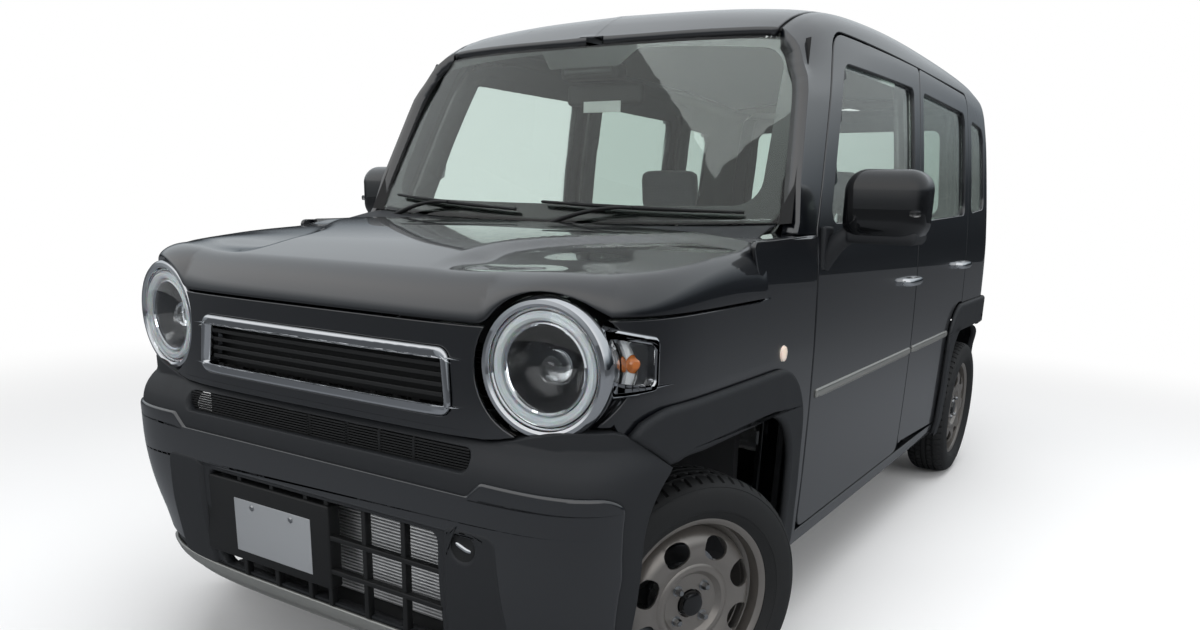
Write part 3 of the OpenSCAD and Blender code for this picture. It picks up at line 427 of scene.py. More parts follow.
def deselect():
    if bpy.context.mode != "OBJECT": bpy.ops.object.mode_set(mode="OBJECT")
    bpy.ops.object.select_all(action="DESELECT")

def activate(obj):
    deselect()
    obj.select_set(True)
    bpy.context.view_layer.objects.active = obj

def edit(obj=None):
    if obj: activate(obj)
    bpy.ops.object.mode_set(mode="EDIT")

def tidy_up(angle, merge=None):
    """Merges doubles, turns all faces outwards, leaves edit mode and smooths up to an angle."""
    bpy.ops.mesh.select_all(action="SELECT")
    if merge: bpy.ops.mesh.remove_doubles(threshold=merge)
    bpy.ops.mesh.normals_make_consistent(inside=False)
    leave(angle)

def leave(angle):
    bpy.ops.object.mode_set(mode="OBJECT")
    bpy.ops.object.shade_smooth_by_angle(angle=math.radians(angle))

def linked(name, data):
    obj = bpy.data.objects.new(name, data)
    bpy.context.collection.objects.link(obj)
    return obj

def mounted(obj, rides, stands_for=()):
    """Says which body carries the piece and which CAD nodes it stands for."""
    if rides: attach(obj, rides)
    if stands_for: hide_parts(*stands_for)
    return obj

def flat(name, loops):
    """Flat mesh, in mm, filled between closed outlines."""
    deselect()
    curve = bpy.data.curves.new(name, "CURVE")
    curve.dimensions, curve.fill_mode = "2D", "BOTH"
    for loop in loops:
        spline = curve.splines.new("POLY")
        spline.points.add(len(loop) - 1)
        for point, (a, b) in zip(spline.points, loop): point.co = (a, b, 0, 1)
        spline.use_cyclic_u = True
    activate(linked(name, curve))
    bpy.ops.object.convert(target="MESH")
    edit()
    bpy.ops.mesh.select_all(action="SELECT")
    bpy.ops.mesh.remove_doubles(threshold=0.01)
    bpy.ops.mesh.normals_make_consistent(inside=False)
    return bpy.context.object

def hem(obj, rings=HEM, dip=2.6):
    """Insets rings along the border and notes on every vertex how far it dips below the skin."""
    me = obj.data
    done = 0.0
    for dist, fall in rings:
        bpy.ops.mesh.inset(thickness=dist - done, use_boundary=True, use_even_offset=True)
        done = dist
        bm = bmesh.from_edit_mesh(me)
        layer = bm.verts.layers.float.get("dip") or bm.verts.layers.float.new("dip")
        for v in {v for f in bm.faces if not f.select for v in f.verts}:
            if v.is_boundary: v[layer] = dip
            elif any(g.select for g in v.link_faces): v[layer] = fall
        bmesh.update_edit_mesh(me)

def cuts(obj, lines_a, lines_b):
    """Regular cuts across a flat pattern, so that it can bend."""
    for axis, lines in ((0, lines_a), (1, lines_b)):
        for at in lines:
            co, no = [0, 0, 0], [0, 0, 0]
            co[axis], no[axis] = at, 1
            bpy.ops.mesh.select_all(action="SELECT")
            bpy.ops.mesh.bisect(plane_co=co, plane_no=no)

def spaced(lo, hi, step):
    n = max(1, math.ceil((hi - lo) / step))
    return [lo + (hi - lo) * (i + 0.5) / n for i in range(n)]

def lay(obj, skin, depth, mirrored, mats):
    """Gives the pattern its wall, moves it onto the skin and sets true skin normals outside."""
    bpy.ops.mesh.select_all(action="SELECT")
    bpy.ops.mesh.extrude_region_move(TRANSFORM_OT_translate={"value": (0, 0, -1)})
    bpy.ops.object.mode_set(mode="OBJECT")
    me = obj.data
    dips = me.attributes["dip"].data if "dip" in me.attributes else None
    flip_y = -1 if mirrored else 1
    outer, normals, places = [], [], []
    for v in me.vertices:
        a, b, w = v.co
        d = dips[v.index].value if dips else 0
        full = depth(a, b) if callable(depth) else depth
        out = w > -0.5
        q = skin(a, b, d if out else full)
        if out and d < 0.01:
            n = (skin(a + 1, b, 0) - skin(a - 1, b, 0)).cross(skin(a, b + 1, 0) - skin(a, b - 1, 0))
            n = n if n.dot(skin(a, b, 0) - skin(a, b, 4)) > 0 else -n
            n = n.normalized() if n.length > 1e-6 else Vector((0, 0, 0))
            normals.append((n.x, n.y * flip_y, n.z))
        else:
            normals.append((0, 0, 0))
        outer.append(out)
        places.append((q.x / 1000, q.y * flip_y / 1000, q.z / 1000))
    for v, p in zip(me.vertices, places): v.co = p
    for m in mats: me.materials.append(m)
    for f in me.polygons:
        n_out = sum(outer[i] for i in f.vertices)
        f.material_index = 0 if n_out == len(f.vertices) else 1 if n_out == 0 else min(2, len(mats) - 1)
        f.use_smooth = True
    edit(obj)
    tidy_up(40)
    me.normals_split_custom_set_from_vertices(normals)
    if "dip" in me.attributes: me.attributes.remove(me.attributes["dip"])

def panel(name, loops, skin, depth, rides, slot, stands_for=(), mats=(PAINT, PAINT, PAINT), step=(45, 30),
          mirrored=False, rings=HEM, dip=2.6):
    """mats are the finishes of the outside, the inside and the walls."""
    obj = flat(name, [dense(l) for l in loops])
    if rings: hem(obj, rings, dip)
    a = [p[0] for l in loops for p in l]
    b = [p[1] for l in loops for p in l]
    cuts(obj, spaced(min(a), max(a), step[0]), spaced(min(b), max(b), step[1]))
    lay(obj, skin, depth, mirrored, mats)
    deselect()
    return mounted(obj, rides, stands_for)

def pair(name, loops, skin, depth, rides, slot, stands_for=(), **more):
    """The same panel on the left and, mirrored, on the right; {} in a name stands for the side."""
    return [panel(name.format(s), loops, skin, depth, rides.format(s), slot,
                  [n.format(s) for n in stands_for], mirrored=(s == "right"), **more)
                  for s in ("left", "right")]

print("panel maker ready")

# %% [markdown]
# ## Doors
#
# A front and a rear door each side. The outline is the shut line, the window is cut from it, and
# the wall is as thick as the whole door: thick below the belt and slim round the window.

# %% Door outlines
FRONT_DOOR = [(700, 305, 40), (700, 1075, 30), (646, 1180, 90), (470, 1562, 90), (-278, 1567, 20),
              (-278, 305, 30)]
FRONT_WINDOW = [(600, 1092, 30), (424, 1492, 50), (-205, 1498, 25), (-212, 1092, 25)]
REAR_WINDOW = [(-330, 1094, 25), (-326, 1498, 25), (-985, 1492, 45), (-1000, 1116, 35)]
QUARTER_WINDOW = [(-1122, 1124, 30), (-1114, 1478, 40), (-1384, 1464, 60), (-1396, 1142, 45)]

# the rear door's lower corner follows the arch trim with a shut gap
cut_back = [p for p in arch(AXLE_R, ARCH_TRIM, SHUT, 305) if p[0] > -1063]
REAR_DOOR = outline([(-284, 305, 30), (-284, 1567, 20), (-1040, 1562, 60), (-1063, 1100, 40),
                     (-1063, 774)]) + cut_back

def wall(a, b):
    s = look(UP_, b)
    return mix(DOOR_T, FRAME_T, smooth((s - 5.6) / 0.8))

def laid(rows, closed=True):
    return [on_side(x, z) for x, z in dense(rows, closed=closed)]

door_finish = (PAINT, LINER, PAINT)
pair("door_skin_front_{}", [laid(outline(FRONT_DOOR)), laid(outline(FRONT_WINDOW))], side, wall,
     "door_front_{}", "paint", ["door_front_{}"], mats=door_finish)
pair("door_skin_rear_{}", [laid(REAR_DOOR), laid(outline(REAR_WINDOW))], side, wall,
     "door_rear_{}", "paint", ["door_rear_{}"], mats=door_finish)

# %% Door glass
def glass(name, rows, depth_in, rides, stands_for, mat=GLASS):
    pair(name, [laid(outline(rows))], lambda a, b, d=0: side(a, b, d + depth_in), 4, rides, "glass",
         stands_for, mats=(mat,), rings=None, step=(60, 45))

glass("pane_front_{}", FRONT_WINDOW, 12, "door_front_{}", ["glass_front_{}"])
glass("pane_rear_{}", REAR_WINDOW, 12, "door_rear_{}", ["glass_rear_{}"], mat=PRIVACY)
glass("pane_quarter_{}", QUARTER_WINDOW, 8, "body", ["quarter_glass"], mat=PRIVACY)
print("door glass is 4 mm thick")

# %% [markdown]
# ## Body sides and roof
#
# One pressing runs from the windscreen pillar over the doors to the tail corner. Below the doors
# the sill closes it. Behind the shut doors lies the door frame, which shows when they open.

# %% Body side outlines
pillar = [(706, 1072), (652, 1183, 90), (474, 1568, 90), (-1042, 1568, 60), (-1069, 1100, 40), (-1069, 778)]
tail_u = TAIL_X0 - look(TAIL, 41.6)
arch_back = [p for p in arch(AXLE_R, ARCH_TRIM, -20, 256) if -1572 < p[0] < -1069 and p[1] > 640]
side_loop = laid(outline([(835, 1068), (706, 1068)] + pillar), closed=False)[:-1]
side_loop += [on_side(x, z) for x, z in dense([(-1069, 748)] + arch_back[::-1], 60, closed=False)]
foot_t, top_t = on_side(-1500, 640)[1], look(UP, 13) - 4
side_loop += [(-1572, foot_t), (tail_u, foot_t)]
side_loop += [(tail_u, mix(side_loop[-1][1], top_t, k / 24)) for k in range(1, 25)]
side_loop += [(mix(tail_u, 612, k / 50), top_t) for k in range(1, 51)]
side_loop += laid([(628, 1540), (790, 1180), (815, 1096)], closed=False)
print("body side outline", len(side_loop), "points")

# %% Body side skins
pair("side_skin_{}", [side_loop, laid(outline(QUARTER_WINDOW))], side,
     lambda a, b: mix(40, 30, smooth((-1300 - a) / 100)), "body", "paint", ["side_panel_{}"],
     mats=(PAINT, LINER, PAINT))
SILL = [(842, 258), (842, 299, 4), (-836, 299, 4), (-836, 258)]
pair("sill_skin_{}", [laid(outline(SILL))], side, 30, "body", "paint", step=(60, 16))
FRAME = [(745, 290), (748, 1072), (694, 1190), (512, 1590), (-1080, 1588), (-1112, 1100), (-1112, 800),
         (-850, 290)]
FRONT_DOORWAY = [(662, 343, 40), (662, 1090, 30), (610, 1190, 60), (446, 1524, 60), (-240, 1529, 20),
                 (-240, 343, 30)]
REAR_DOORWAY = [(-322, 343, 30), (-322, 1529, 20), (-1004, 1524, 50), (-1025, 1100, 40),
                (-1025, 840, 40), (-800, 760, 90), (-790, 343, 30)]
pair("door_frame_{}", [laid(outline(rows)) for rows in (FRAME, FRONT_DOORWAY, REAR_DOORWAY)],
     lambda a, b, d=0: side(a, b, d + wall(a, b) + SHUT + 4), 30, "body", "paint", rings=None,
     step=(90, 60), mats=(PAINT, LINER, PAINT))
print("sills end at", SECTION[0])

# %% Roof
def screen(u, v, depth=0):
    """Windscreen: u up the glass, v across from -1 to 1."""
    bow = 1 - abs(v) ** 2.4
    return Vector((mix(822, 604, u) + mix(96, 46, u) * bow - depth, v * mix(650, 596, u),
                   mix(1086, 1528, u) + mix(-16, 30, u) * bow + 14 * math.sin(math.pi * u)))

r_edge = T_TOP - look(UP, 13) - 5
front_edge = [(616 + 46 * (1 - abs(v) ** 2.4), v * r_edge) for v in [k / 20 for k in range(-20, 21)]]
roof_loop = front_edge + [(ROOF_X1, mix(r_edge, -r_edge, k / 30)) for k in range(31)]
panel("roof_skin", [roof_loop], roof, 26, "body", "paint", ["roof_panel"], mats=(PAINT, SOFT_TRIM, PAINT),
      step=(45, 40))
for s, sg in SIDES:
    near, far = sg * (r_edge - 6), sg * (r_edge + 14)
    channel = [(606, near), (606, far), (ROOF_X1, far), (ROOF_X1, near)]
    panel("roof_channel_" + s, [channel], lambda a, b, d=0: roof(a, b, d + 7), 8, "body", "black_matte",
          mats=(SEAL,), rings=None, step=(60, 9))
print("roof", round(2 * r_edge), "mm across")

# %% [markdown]
# ## Bonnet
#
# The bonnet is a clamshell: it wraps over the fenders and arches over the round lamps. A fan of
# points from the rear edge to the nose curve follows the sheet metal, and two soft terms add the
# raised middle and the brows over the lamps that catch the light.

# %% Bonnet surface
def bonnet_top(x, y):
    y = abs(y)
    crown = ease(BONNET_LINE, x) - 8 * (y / 700) ** 2 - 10 * (y / 700) ** 6
    half = mix(575, 300, smooth((x - 1020) / 420))                  # half width of the raised middle
    shoulder = -15 * smooth((y - half + 45) / 80) * smooth((x - 1000) / 130) * (1 - smooth((x - 1500) / 130))
    brow = 12 * math.exp(-((y - LAMP_Y) / 120) ** 2) * smooth((x - 1330) / 220)
    return crown + shoulder + brow * (1 - smooth((x - 1640) / 40))

def bonnet_lip(y):
    return max(mix(914, 936, smooth((y - 500) / 80)),
               LAMP_Z + math.sqrt(max(0, (LAMP_R + SHUT + 1) ** 2 - (y - LAMP_Y) ** 2)))

def bonnet(a, b, d=0):
    """a runs from the rear edge (0) to the front and side edge (1000), b across from -1000 to 1000."""
    u, v = clamp(a / 1000, 0, 1), clamp(b / 1000, -1, 1)
    w = abs(v)
    deg = math.degrees(math.acos((0.92 * w / 0.6) ** 2)) if w < 0.6 else 32.2 * (1 - 0.97 * (w - 0.6) / 0.4) ** 3
    kx, ky = plan(deg)
    edge = Vector((NOSE_X0 + (NOSE_L - 2 - d) * kx, (717 - d) * ky))
    rear = Vector((1004 + 45 * w * w, 690 * w))
    q = rear.lerp(edge, 1 - (1 - u) ** 1.7)
    t = clamp((edge - q).length / 62, 0, 1)
    z = mix(bonnet_lip(q.y), bonnet_top(q.x, q.y) - d, math.sqrt(1 - (1 - t) ** 2))
    return Vector((q.x, math.copysign(q.y, v), z))

def rectangle(a0, b0, a1, b1):
    return [(a0, b0), (a1, b0), (a1, b1), (a0, b1)]

obj = panel("bonnet_skin", [rectangle(0, -1000, 1000, 1000)], bonnet, 18, "bonnet", "paint", ["bonnet"],
            step=(22, 16), rings=None)
print("bonnet", len(obj.data.polygons), "faces")

# %% [markdown]
# ## Nose and fenders
#
# The painted nose fills the space between the lamps, with the grille let into it. Each fender runs
# from the door to the lamp. Their lower edges follow the bumper's brow, and the lamps cut round bites.

# %% Nose panel
def brow(y):
    return 698 + 38 * smooth((abs(y) - 430) / 200)

def ring_y(z, r, sign):
    return LAMP_Y + sign * math.sqrt(max(0, r * r - (z - LAMP_Z) ** 2))

bite = LAMP_R + 2
GRILLE = [(GRILLE_Y, GRILLE_Z - GRILLE_H / 2, 26), (GRILLE_Y - 12, GRILLE_Z + GRILLE_H / 2, 26),
          (-GRILLE_Y + 12, GRILLE_Z + GRILLE_H / 2, 26), (-GRILLE_Y, GRILLE_Z - GRILLE_H / 2, 26)]

def grown(rows, g):
    """The grille's outline moved out by g on all sides."""
    return [(y + g * math.copysign(1, y), z + g * math.copysign(1, z - GRILLE_Z), max(4, r + g))
            for y, z, r in rows]

right = [(y, brow(y) + 4) for y in [k * 505 / 16 for k in range(17)]]
right += [(ring_y(z, bite, -1), z) for z in [mix(717, 908, k / 20) for k in range(21)]]
nose_loop = [on_front(y, z) for y, z in [(-y, z) for y, z in right[:0:-1]] + right]
grille_hole = [on_front(y, z) for y, z in dense(outline(grown(GRILLE, 1)))]
panel("nose_skin", [nose_loop, grille_hole], front, 18, "body", "paint", ["nose_panel"], step=(45, 30))
print("nose panel ends", right[16], right[-1])

# %% Fenders
bite_z = [mix(930, 742, k / 20) for k in range(21)]
lamp_side = [(NOSE_X0 + NOSE_HALF - on_front(ring_y(z, bite, 1), z)[0], z) for z in bite_z]
trim_end = on_lower(1562, 744)
low = [(u, brow(lower(u, 740).y) + 4)
       for u in [mix(lamp_side[-1][0], trim_end[0], k / 8) for k in range(1, 8)]]
arch_front = [on_lower(x, z) for x, z in arch(AXLE_F, ARCH_TRIM, -20, 256) if x < 1546][::-1]
fender_loop = outline([(706, 256), (706, 1060), (800, 1062, 60), (1034, 1056, 14), (1006, 968, 12),
                       (1000, 930, 6), (1100, 930)])
fender_loop += [(mix(1100, lamp_side[0][0], k / 24), 930) for k in range(1, 24)] + lamp_side + low
fender_loop += [trim_end, on_lower(1554, 722)] + arch_front
pair("fender_skin_{}", [fender_loop], lower, 12, "body", "paint", ["fender_{}"], step=(45, 30))
print("fender", len(fender_loop), "outline points")

# %% [markdown]
# ## Front bumper
#
# The bumper is one grained moulding with a gloss band clipped over it, two upright pads, a plate
# holder and a silver skid garnish. Its top edge is a ledge under the nose.

# %% Bumper outline
def bumper_x(x, z):
    return solve(lambda a: bump_front(a, z).x, x, 0, BUMP_HALF), z

wheel_edge = [p for p in arch(AXLE_F, ARCH, 2, 216)[::-1] if p[0] > 1449]
foot_a = bumper_x(1541, 206)[0]
half = [(k * foot_a / 20, 206) for k in range(20)]
half += [bumper_x(x, z) for x, z in dense(wheel_edge, 30, closed=False) if z > 206]
half += [bumper_x(1452, 653), bumper_x(1560, 730)]
top_a = half[-1][0]
half += [(a, brow(bump_front(a, 700).y)) for a in [top_a * (1 - k / 30) for k in range(1, 31)]]
bumper_loop = half[:-1] + [(-a, z) for a, z in half[:0:-1]]
UPPER_SLOT = [(-428, 640, 20), (-424, 684, 20), (424, 684, 20), (428, 640, 20)]
LOWER_SLOT = [(-352, 276, 20), (-352, 512, 20), (352, 512, 20), (352, 276, 20)]

def front_view(rows, step=40):
    return [on_bumper(y, z) for y, z in dense(outline(rows), step)]

panel("bumper_front_skin", [bumper_loop, front_view(UPPER_SLOT), front_view(LOWER_SLOT)], bump_front, 24,
      "body", "matte", ["bumper_front"], mats=(GRAINED,), step=(24, 20))
print("bumper", len(bumper_loop), "outline points")

# %% Gloss band, pads and garnish
def raised(skin, by):
    return lambda a, b, d=0: skin(a, b, d - by)

BAND = [(0, 600), (424, 600, 16), (458, 632, 16), (704, 628, 30), (700, 470), (676, 300, 34),
        (440, 286, 12), (452, 520, 10), (0, 520)]
band = BAND + [(-y, z, *r) for y, z, *r in BAND[-2:0:-1]]
panel("bumper_gloss_band", [front_view(band)], raised(bump_front, 5), 6, "body", "paint", mats=(PAINT,),
      step=(24, 20), rings=((1.5, 1.8), (4, 0.5), (7, 0.0)), dip=5)
HOOK = (416, 498)
hook_hole = [on_bumper(y, z) for y, z in circle(*HOOK, 27)]
for s, sg in SIDES:
    stand = [(sg * 364, 262, 20), (sg * 368, 536, 24), (sg * 492, 536, 24), (sg * 514, 262, 20)]
    panel("bumper_pad_" + s, [front_view(stand)] + ([hook_hole] if sg > 0 else []),
          raised(bump_front, PAD_T), 12,
          "body", "matte", mats=(GRAINED,), step=(30, 30), rings=((2, 3), (6, 0.6), (10, 0.0)), dip=7)
skid_a = BUMP_HALF - look(BUMP_F, 38)
skid = ([(skid_a * k / 24, 206) for k in range(-24, 25)]
        + [(-skid_a * k / 24 * 0.98, 268) for k in range(-24, 25)])
panel("skid_garnish_skin", [skid], raised(bump_front, 9), 8, "body", "silver", ["skid_garnish"],
      mats=(SATIN,), step=(45, 16), rings=((1.5, 1.2), (4, 0.0)), dip=4)
print("gloss band and pads stand up to", PAD_T, "mm out")

# %% Helpers for boxes, turned pieces and bars
def seat(x, y, z, deg=0, axis="Y"):
    """The matrix that puts a piece at a point in mm and turns it."""
    return Matrix.Translation((x / 1000, y / 1000, z / 1000)) @ Matrix.Rotation(math.radians(deg), 4, axis)

def block(name, x0, x1, y0, y1, z0, z1, mat, r=2, seg=3):
    """Box with rounded edges: a cube scaled in edit mode, then bevelled. Millimetres."""
    deselect()
    bpy.ops.mesh.primitive_cube_add(size=1)
    obj = bpy.context.object
    obj.name = name
    edit()
    bpy.ops.transform.resize(value=((x1 - x0) / 1000, (y1 - y0) / 1000, (z1 - z0) / 1000))
    bpy.ops.transform.translate(value=((x0 + x1) / 2000, (y0 + y1) / 2000, (z0 + z1) / 2000))
    if r: bpy.ops.mesh.bevel(offset=r / 1000, segments=seg, affect="EDGES", clamp_overlap=True)
    leave(40)
    obj.data.materials.append(mat)
    return obj

def join(name, objs, rides=None, stands_for=()):
    deselect()
    for o in objs:
        o.parent = None
        o.select_set(True)
    bpy.context.view_layer.objects.active = objs[0]
    if len(objs) > 1: bpy.ops.object.join()
    obj = bpy.context.object
    obj.name = obj.data.name = name
    deselect()
    return mounted(obj, rides, stands_for)

def lathe(name, profile, place, mat, steps=96):
    """Spins a ring of (radius, height) in mm round the local Z axis; place is the matrix that seats it."""
    me = bpy.data.meshes.new(name)
    obj = linked(name, me)
    n = len(profile)
    me.from_pydata([(r / 1000, 0, h / 1000) for r, h in profile], [(i, (i + 1) % n) for i in range(n)], [])
    edit(obj)
    bpy.ops.mesh.select_all(action="SELECT")
    bpy.ops.mesh.spin(steps=steps, angle=2 * math.pi, center=(0, 0, 0), axis=(0, 0, 1))
    tidy_up(32, merge=0.00001)
    me.transform(place)
    me.materials.append(mat)
    if place.determinant() < 0: me.flip_normals()
    return obj

def tube(name, pts, radius, mat, radii=None, order=4):
    """Round bar along a smooth line of points in mm, made from a bevelled curve."""
    deselect()
    curve = bpy.data.curves.new(name, "CURVE")
    curve.dimensions, curve.bevel_depth, curve.bevel_resolution, curve.use_fill_caps = "3D", radius / 1000, 6, True
    spline = curve.splines.new("NURBS")
    spline.points.add(len(pts) - 1)
    for k, (point, p) in enumerate(zip(spline.points, pts)):
        point.co = (p[0] / 1000, p[1] / 1000, p[2] / 1000, 1)
        point.radius = radii[k] if radii else 1
    spline.order_u, spline.use_endpoint_u, spline.resolution_u = order, True, 8
    activate(linked(name, curve))
    bpy.ops.object.convert(target="MESH")
    obj = bpy.context.object
    edit()
    tidy_up(50, merge=0.00001)
    obj.data.materials.append(mat)
    return obj

print("box, spin and bar helpers ready")

# %% Lower grille, plate holder and blank plate
bars = [block("bar", 1668, 1686, -356, 356, z, z + 11, DUCT) for z in (348, 424)]
bars += [block("bar", 1664, 1682, y - 6, y + 6, 270, 518, DUCT) for y in (-252, -142, 142, 252, -32, 32)]
join("lower_grille", bars, "body")
mounted(block("plate_holder", 1655, 1689, -378, 45, 311, 500, DUCT, 5), "body")
plate = [block("blank_plate", 1688, 1690.5, -264, -11, 334, 460, PLATE, 1)]
SCREW = [(0, 4), (5, 3.4), (8, 1), (8, 0), (0, 0)]
plate += [lathe("screw", SCREW, seat(1690, y, 446, 90), STEEL, 6) for y in (-202, -73)]
join("blank_plate", plate, "body")
fins = [block("fin", 1560, 1592, -330, 330, z, z + 3.4, FINS, 0)
        for z in [262 + 7.5 * k for k in range(33)]]
fins += [block("core", 1562, 1586, -336, 336, 250, 510, DUCT, 0),
         block("lip", 1590, 1668, -352, 352, 252, 266, DUCT),
         block("duct", 1560, 1580, -480, 480, 515, 700, DUCT)]
join("cooling_fins", fins, "body", ["cooling_pack"])
print("blank plate is 253 by 126 mm")

# %% Tow hook
x_pad = bump_front(*on_bumper(*HOOK)).x
cup = lathe("cup", [(0, 1), (22, 1), (27, 3), (30, 3), (30, -3), (0, -3)], seat(x_pad, *HOOK, 90), DUCT, 40)
mounted(cup, "body")
BAR = [(-6, 397, 504), (0, 400, 503), (1.5, 406, 502), (1.5, 426, 494), (0, 432, 492), (-6, 435, 491)]
hook = tube("tow_hook", [(x_pad + x, y, z) for x, y, z in BAR], 4.5, CHROME, radii=[1, 1, 1.2, 1.2, 1, 1])
mounted(hook, "body")
print("tow hook at", round(x_pad))

# %% Upper intake
slot_skin = lambda a, b, d=0: bump_front(a, 662, d + 10) + Vector((0, 0, b - 662))
def rib(x0, z0, x1, z1, depth, step):
    return panel("rib", [rectangle(x0, z0, x1, z1)], slot_skin, depth, "body", "matte", mats=(DUCT,),
                 rings=None, step=step)

end = on_bumper(426, 600)[0]
ribs = [rib(-end, z, end, z + 2.2, 8, (50, 9)) for z in [641 + 5.6 * k for k in range(8)]]
ribs += [rib(a - 3, 640, a + 3, 684, 10, (9, 60))
         for a in [on_bumper(y, 600)[0] for y in (-20, 96, 190, 284)]]
join("upper_intake", ribs, "body")
print("upper intake has 8 thin ribs")

# %% [markdown]
# ## Grille
#
# A plated frame with rounded corners stands a little proud of the nose. Four dark slats lie
# deep inside it. The frame's face is domed, so its hem is wide and deep.

# %% Grille frame and slats
face = lambda rows: [on_front(y, z) for y, z in dense(outline(rows, 8), 30)]
panel("grille_frame", [face(GRILLE), face(grown(GRILLE, -19))], raised(front, 8), 26, "body", "chrome",
      ["grille"], mats=(CHROME, DUCT, CHROME), step=(30, 60), rings=((1.5, 2.6), (4, 0.9), (7, 0.1)), dip=6)
slats = []
pitch = (GRILLE_H - 44) / 4.5
w = on_front(GRILLE_Y - 26, GRILLE_Z)[0]
tilt = lambda a, b, d=0: front(a, b - (d - 6) * 0.25, d)
for k in range(4):
    z = GRILLE_Z - GRILLE_H / 2 + 22 + pitch * (k + 0.6)
    slats.append(panel("slat", [rectangle(-w, z, w, z + pitch * 0.46)], raised(tilt, -8), 26, "body",
                       "chrome", mats=(DUCT,), rings=((0.8, 0.5), (2.0, 0.0)), dip=1.6, step=(50, 9)))
slats.append(panel("back", [face(grown(GRILLE, 2))], raised(front, -36), 8, "body", "chrome",
                   mats=(DUCT,), rings=None, step=(60, 60)))
join("grille_slats", slats, "body")
print("slat pitch", round(pitch, 1), "mm")

# %% [markdown]
# ## Arch trims and rear bumper
#
# Wide grained trims ring the wheel openings and stand 17 mm proud. Their edges are well rounded,
# so the hem rings are deeper than on sheet metal.

# %% Arch trims
NT = table(lambda a: nose(TAIL_X0 - a, 700), 0.0001, 90)
NT_ = flip(NT)

def lower_tail(a, b, d=0):
    return nose(a if a >= TAIL_X0 else TAIL_X0 - look(NT_, TAIL_X0 - a), b, d)

thick = dict(mats=(GRAINED,), step=(40, 40), rings=((2, 4.6), (6, 1.6), (11, 0.2), (15, 0.0)), dip=9)
outer = [p for p in arch(AXLE_F, ARCH_TRIM, 0, 258) if p[0] < 1530]
inner = [p for p in arch(AXLE_F, ARCH, 0, 258) if p[0] < 1440][::-1]
loop = [on_lower(x, z) for x, z in dense(outer + [(1542, 724), (1449, 657)] + inner, 50, closed=False)]
pair("arch_trim_front_{}", [loop], raised(lower, TRIM_T), TRIM_T - 2, "body", "matte", **thick)
outer = [p for p in arch(AXLE_R, ARCH_TRIM, 0, 258)[::-1] if p[0] > -1552]
inner = [p for p in arch(AXLE_R, ARCH, 0, 258) if p[0] > -1552]
at_tail = lambda x, z: (x if x > TAIL_X0
                        else solve(lambda a: lower_tail(a, z).x, x, TAIL_X0 - 400, TAIL_X0), z)
loop = [at_tail(x, z) for x, z in dense(outer + [(-1558, 757), (-1558, 640)] + inner, 50, closed=False)]
trims = pair("arch_trim_rear_{}", [loop], raised(lower_tail, TRIM_T), TRIM_T - 2, "body", "matte", **thick)
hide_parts("arch_trims")
print("arch trims stand", TRIM_T, "mm out")

# %% Rear bumper
foot = [p for p in arch(AXLE_R, ARCH, 2, 256) if p[0] < -1560]
back_x = lambda x, z: (solve(lambda a: bump_back(a, z).x, x, 0, BUMP_R_HALF), z)
half = [(k * back_x(-1612, 256)[0] / 16, 256) for k in range(16)]
half += [back_x(x, z) for x, z in dense(foot, 40, closed=False)] + [back_x(-1562, 632)]
half += [(half[-1][0] * (1 - k / 20), 632) for k in range(1, 21)]
panel("bumper_rear_skin", [half[:-1] + [(-a, z) for a, z in half[:0:-1]]], bump_back, 24, "body", "matte",
      ["bumper_rear"], mats=(GRAINED,), step=(45, 25))
print("rear bumper", len(half), "outline points a side")

# %% Tailgate
gate_a = TAIL_HALF - look(TAIL, 45.3)
gate_top = look(UP, 13)
t_of = lambda z: on_side(-1450, z)[1]
GATE_GLASS = [(500, 1110, 50), (470, 1500, 50), (-470, 1500, 50), (-500, 1110, 50)]

def on_back(y, z):
    t = t_of(z)
    return math.copysign(solve(lambda a: back(a, t).y, abs(y), 0, TAIL_HALF), y), t

def rear_view(rows, step=30):
    return [on_back(y, z) for y, z in dense(outline(rows), step)]

gate = [(mix(-gate_a, gate_a, k / 30), t_of(640)) for k in range(31)]
gate += [(mix(gate_a, -gate_a, k / 30), gate_top) for k in range(31)]
gate_hole = rear_view(GATE_GLASS, 60)
panel("tailgate_skin", [gate, gate_hole], back, 50, "tailgate", "paint", ["tailgate"],
      mats=(PAINT, LINER, PAINT), step=(45, 40))
panel("tailgate_pane", [gate_hole], raised(back, -8), 4, "tailgate", "glass", ["tailgate_glass"],
      mats=(PRIVACY,), rings=None, step=(60, 60))
print("tailgate", round(2 * gate_a), "mm across")

# %% Roof end and seals
OVER = SECTION[:9:-1]          # the roof's height at a distance from the middle
TAIL_REACH = TAIL_X0 - body(TAIL_X0 - 90, 13).x

def cap(a, b, d=0):
    """Roof end over the tailgate: a runs from the shut line (0) to the rear edge (100), b is mm across."""
    edge = (1 - min(1, abs(b) / 603) ** 4) ** 0.25
    x = mix(ROOF_X1 - SHUT, TAIL_X0 - TAIL_REACH * edge, a / 100)
    ky = (1 - min(0.9999, (TAIL_X0 - x) / TAIL_REACH) ** 4) ** 0.25
    return Vector((x, b, look(OVER, min(603, abs(b) / ky)) - ease(ROOF_LINE, x) - d))

panel("tailgate_roof_edge", [rectangle(0, -560, 100, 560)], cap, 24, "tailgate", "paint", step=(8, 45),
      rings=None)
seal = [(gate_a - 34, t_of(650)), (gate_a + 40, t_of(650)), (gate_a + 40, gate_top - 8),
        (gate_a - 34, gate_top - 8)]
pair("tailgate_seal_{}", [seal], raised(back, -54), 4, "body", "black_matte", mats=(SEAL,), rings=None,
     step=(20, 60))
print("roof end reaches", round(TAIL_REACH), "mm back")

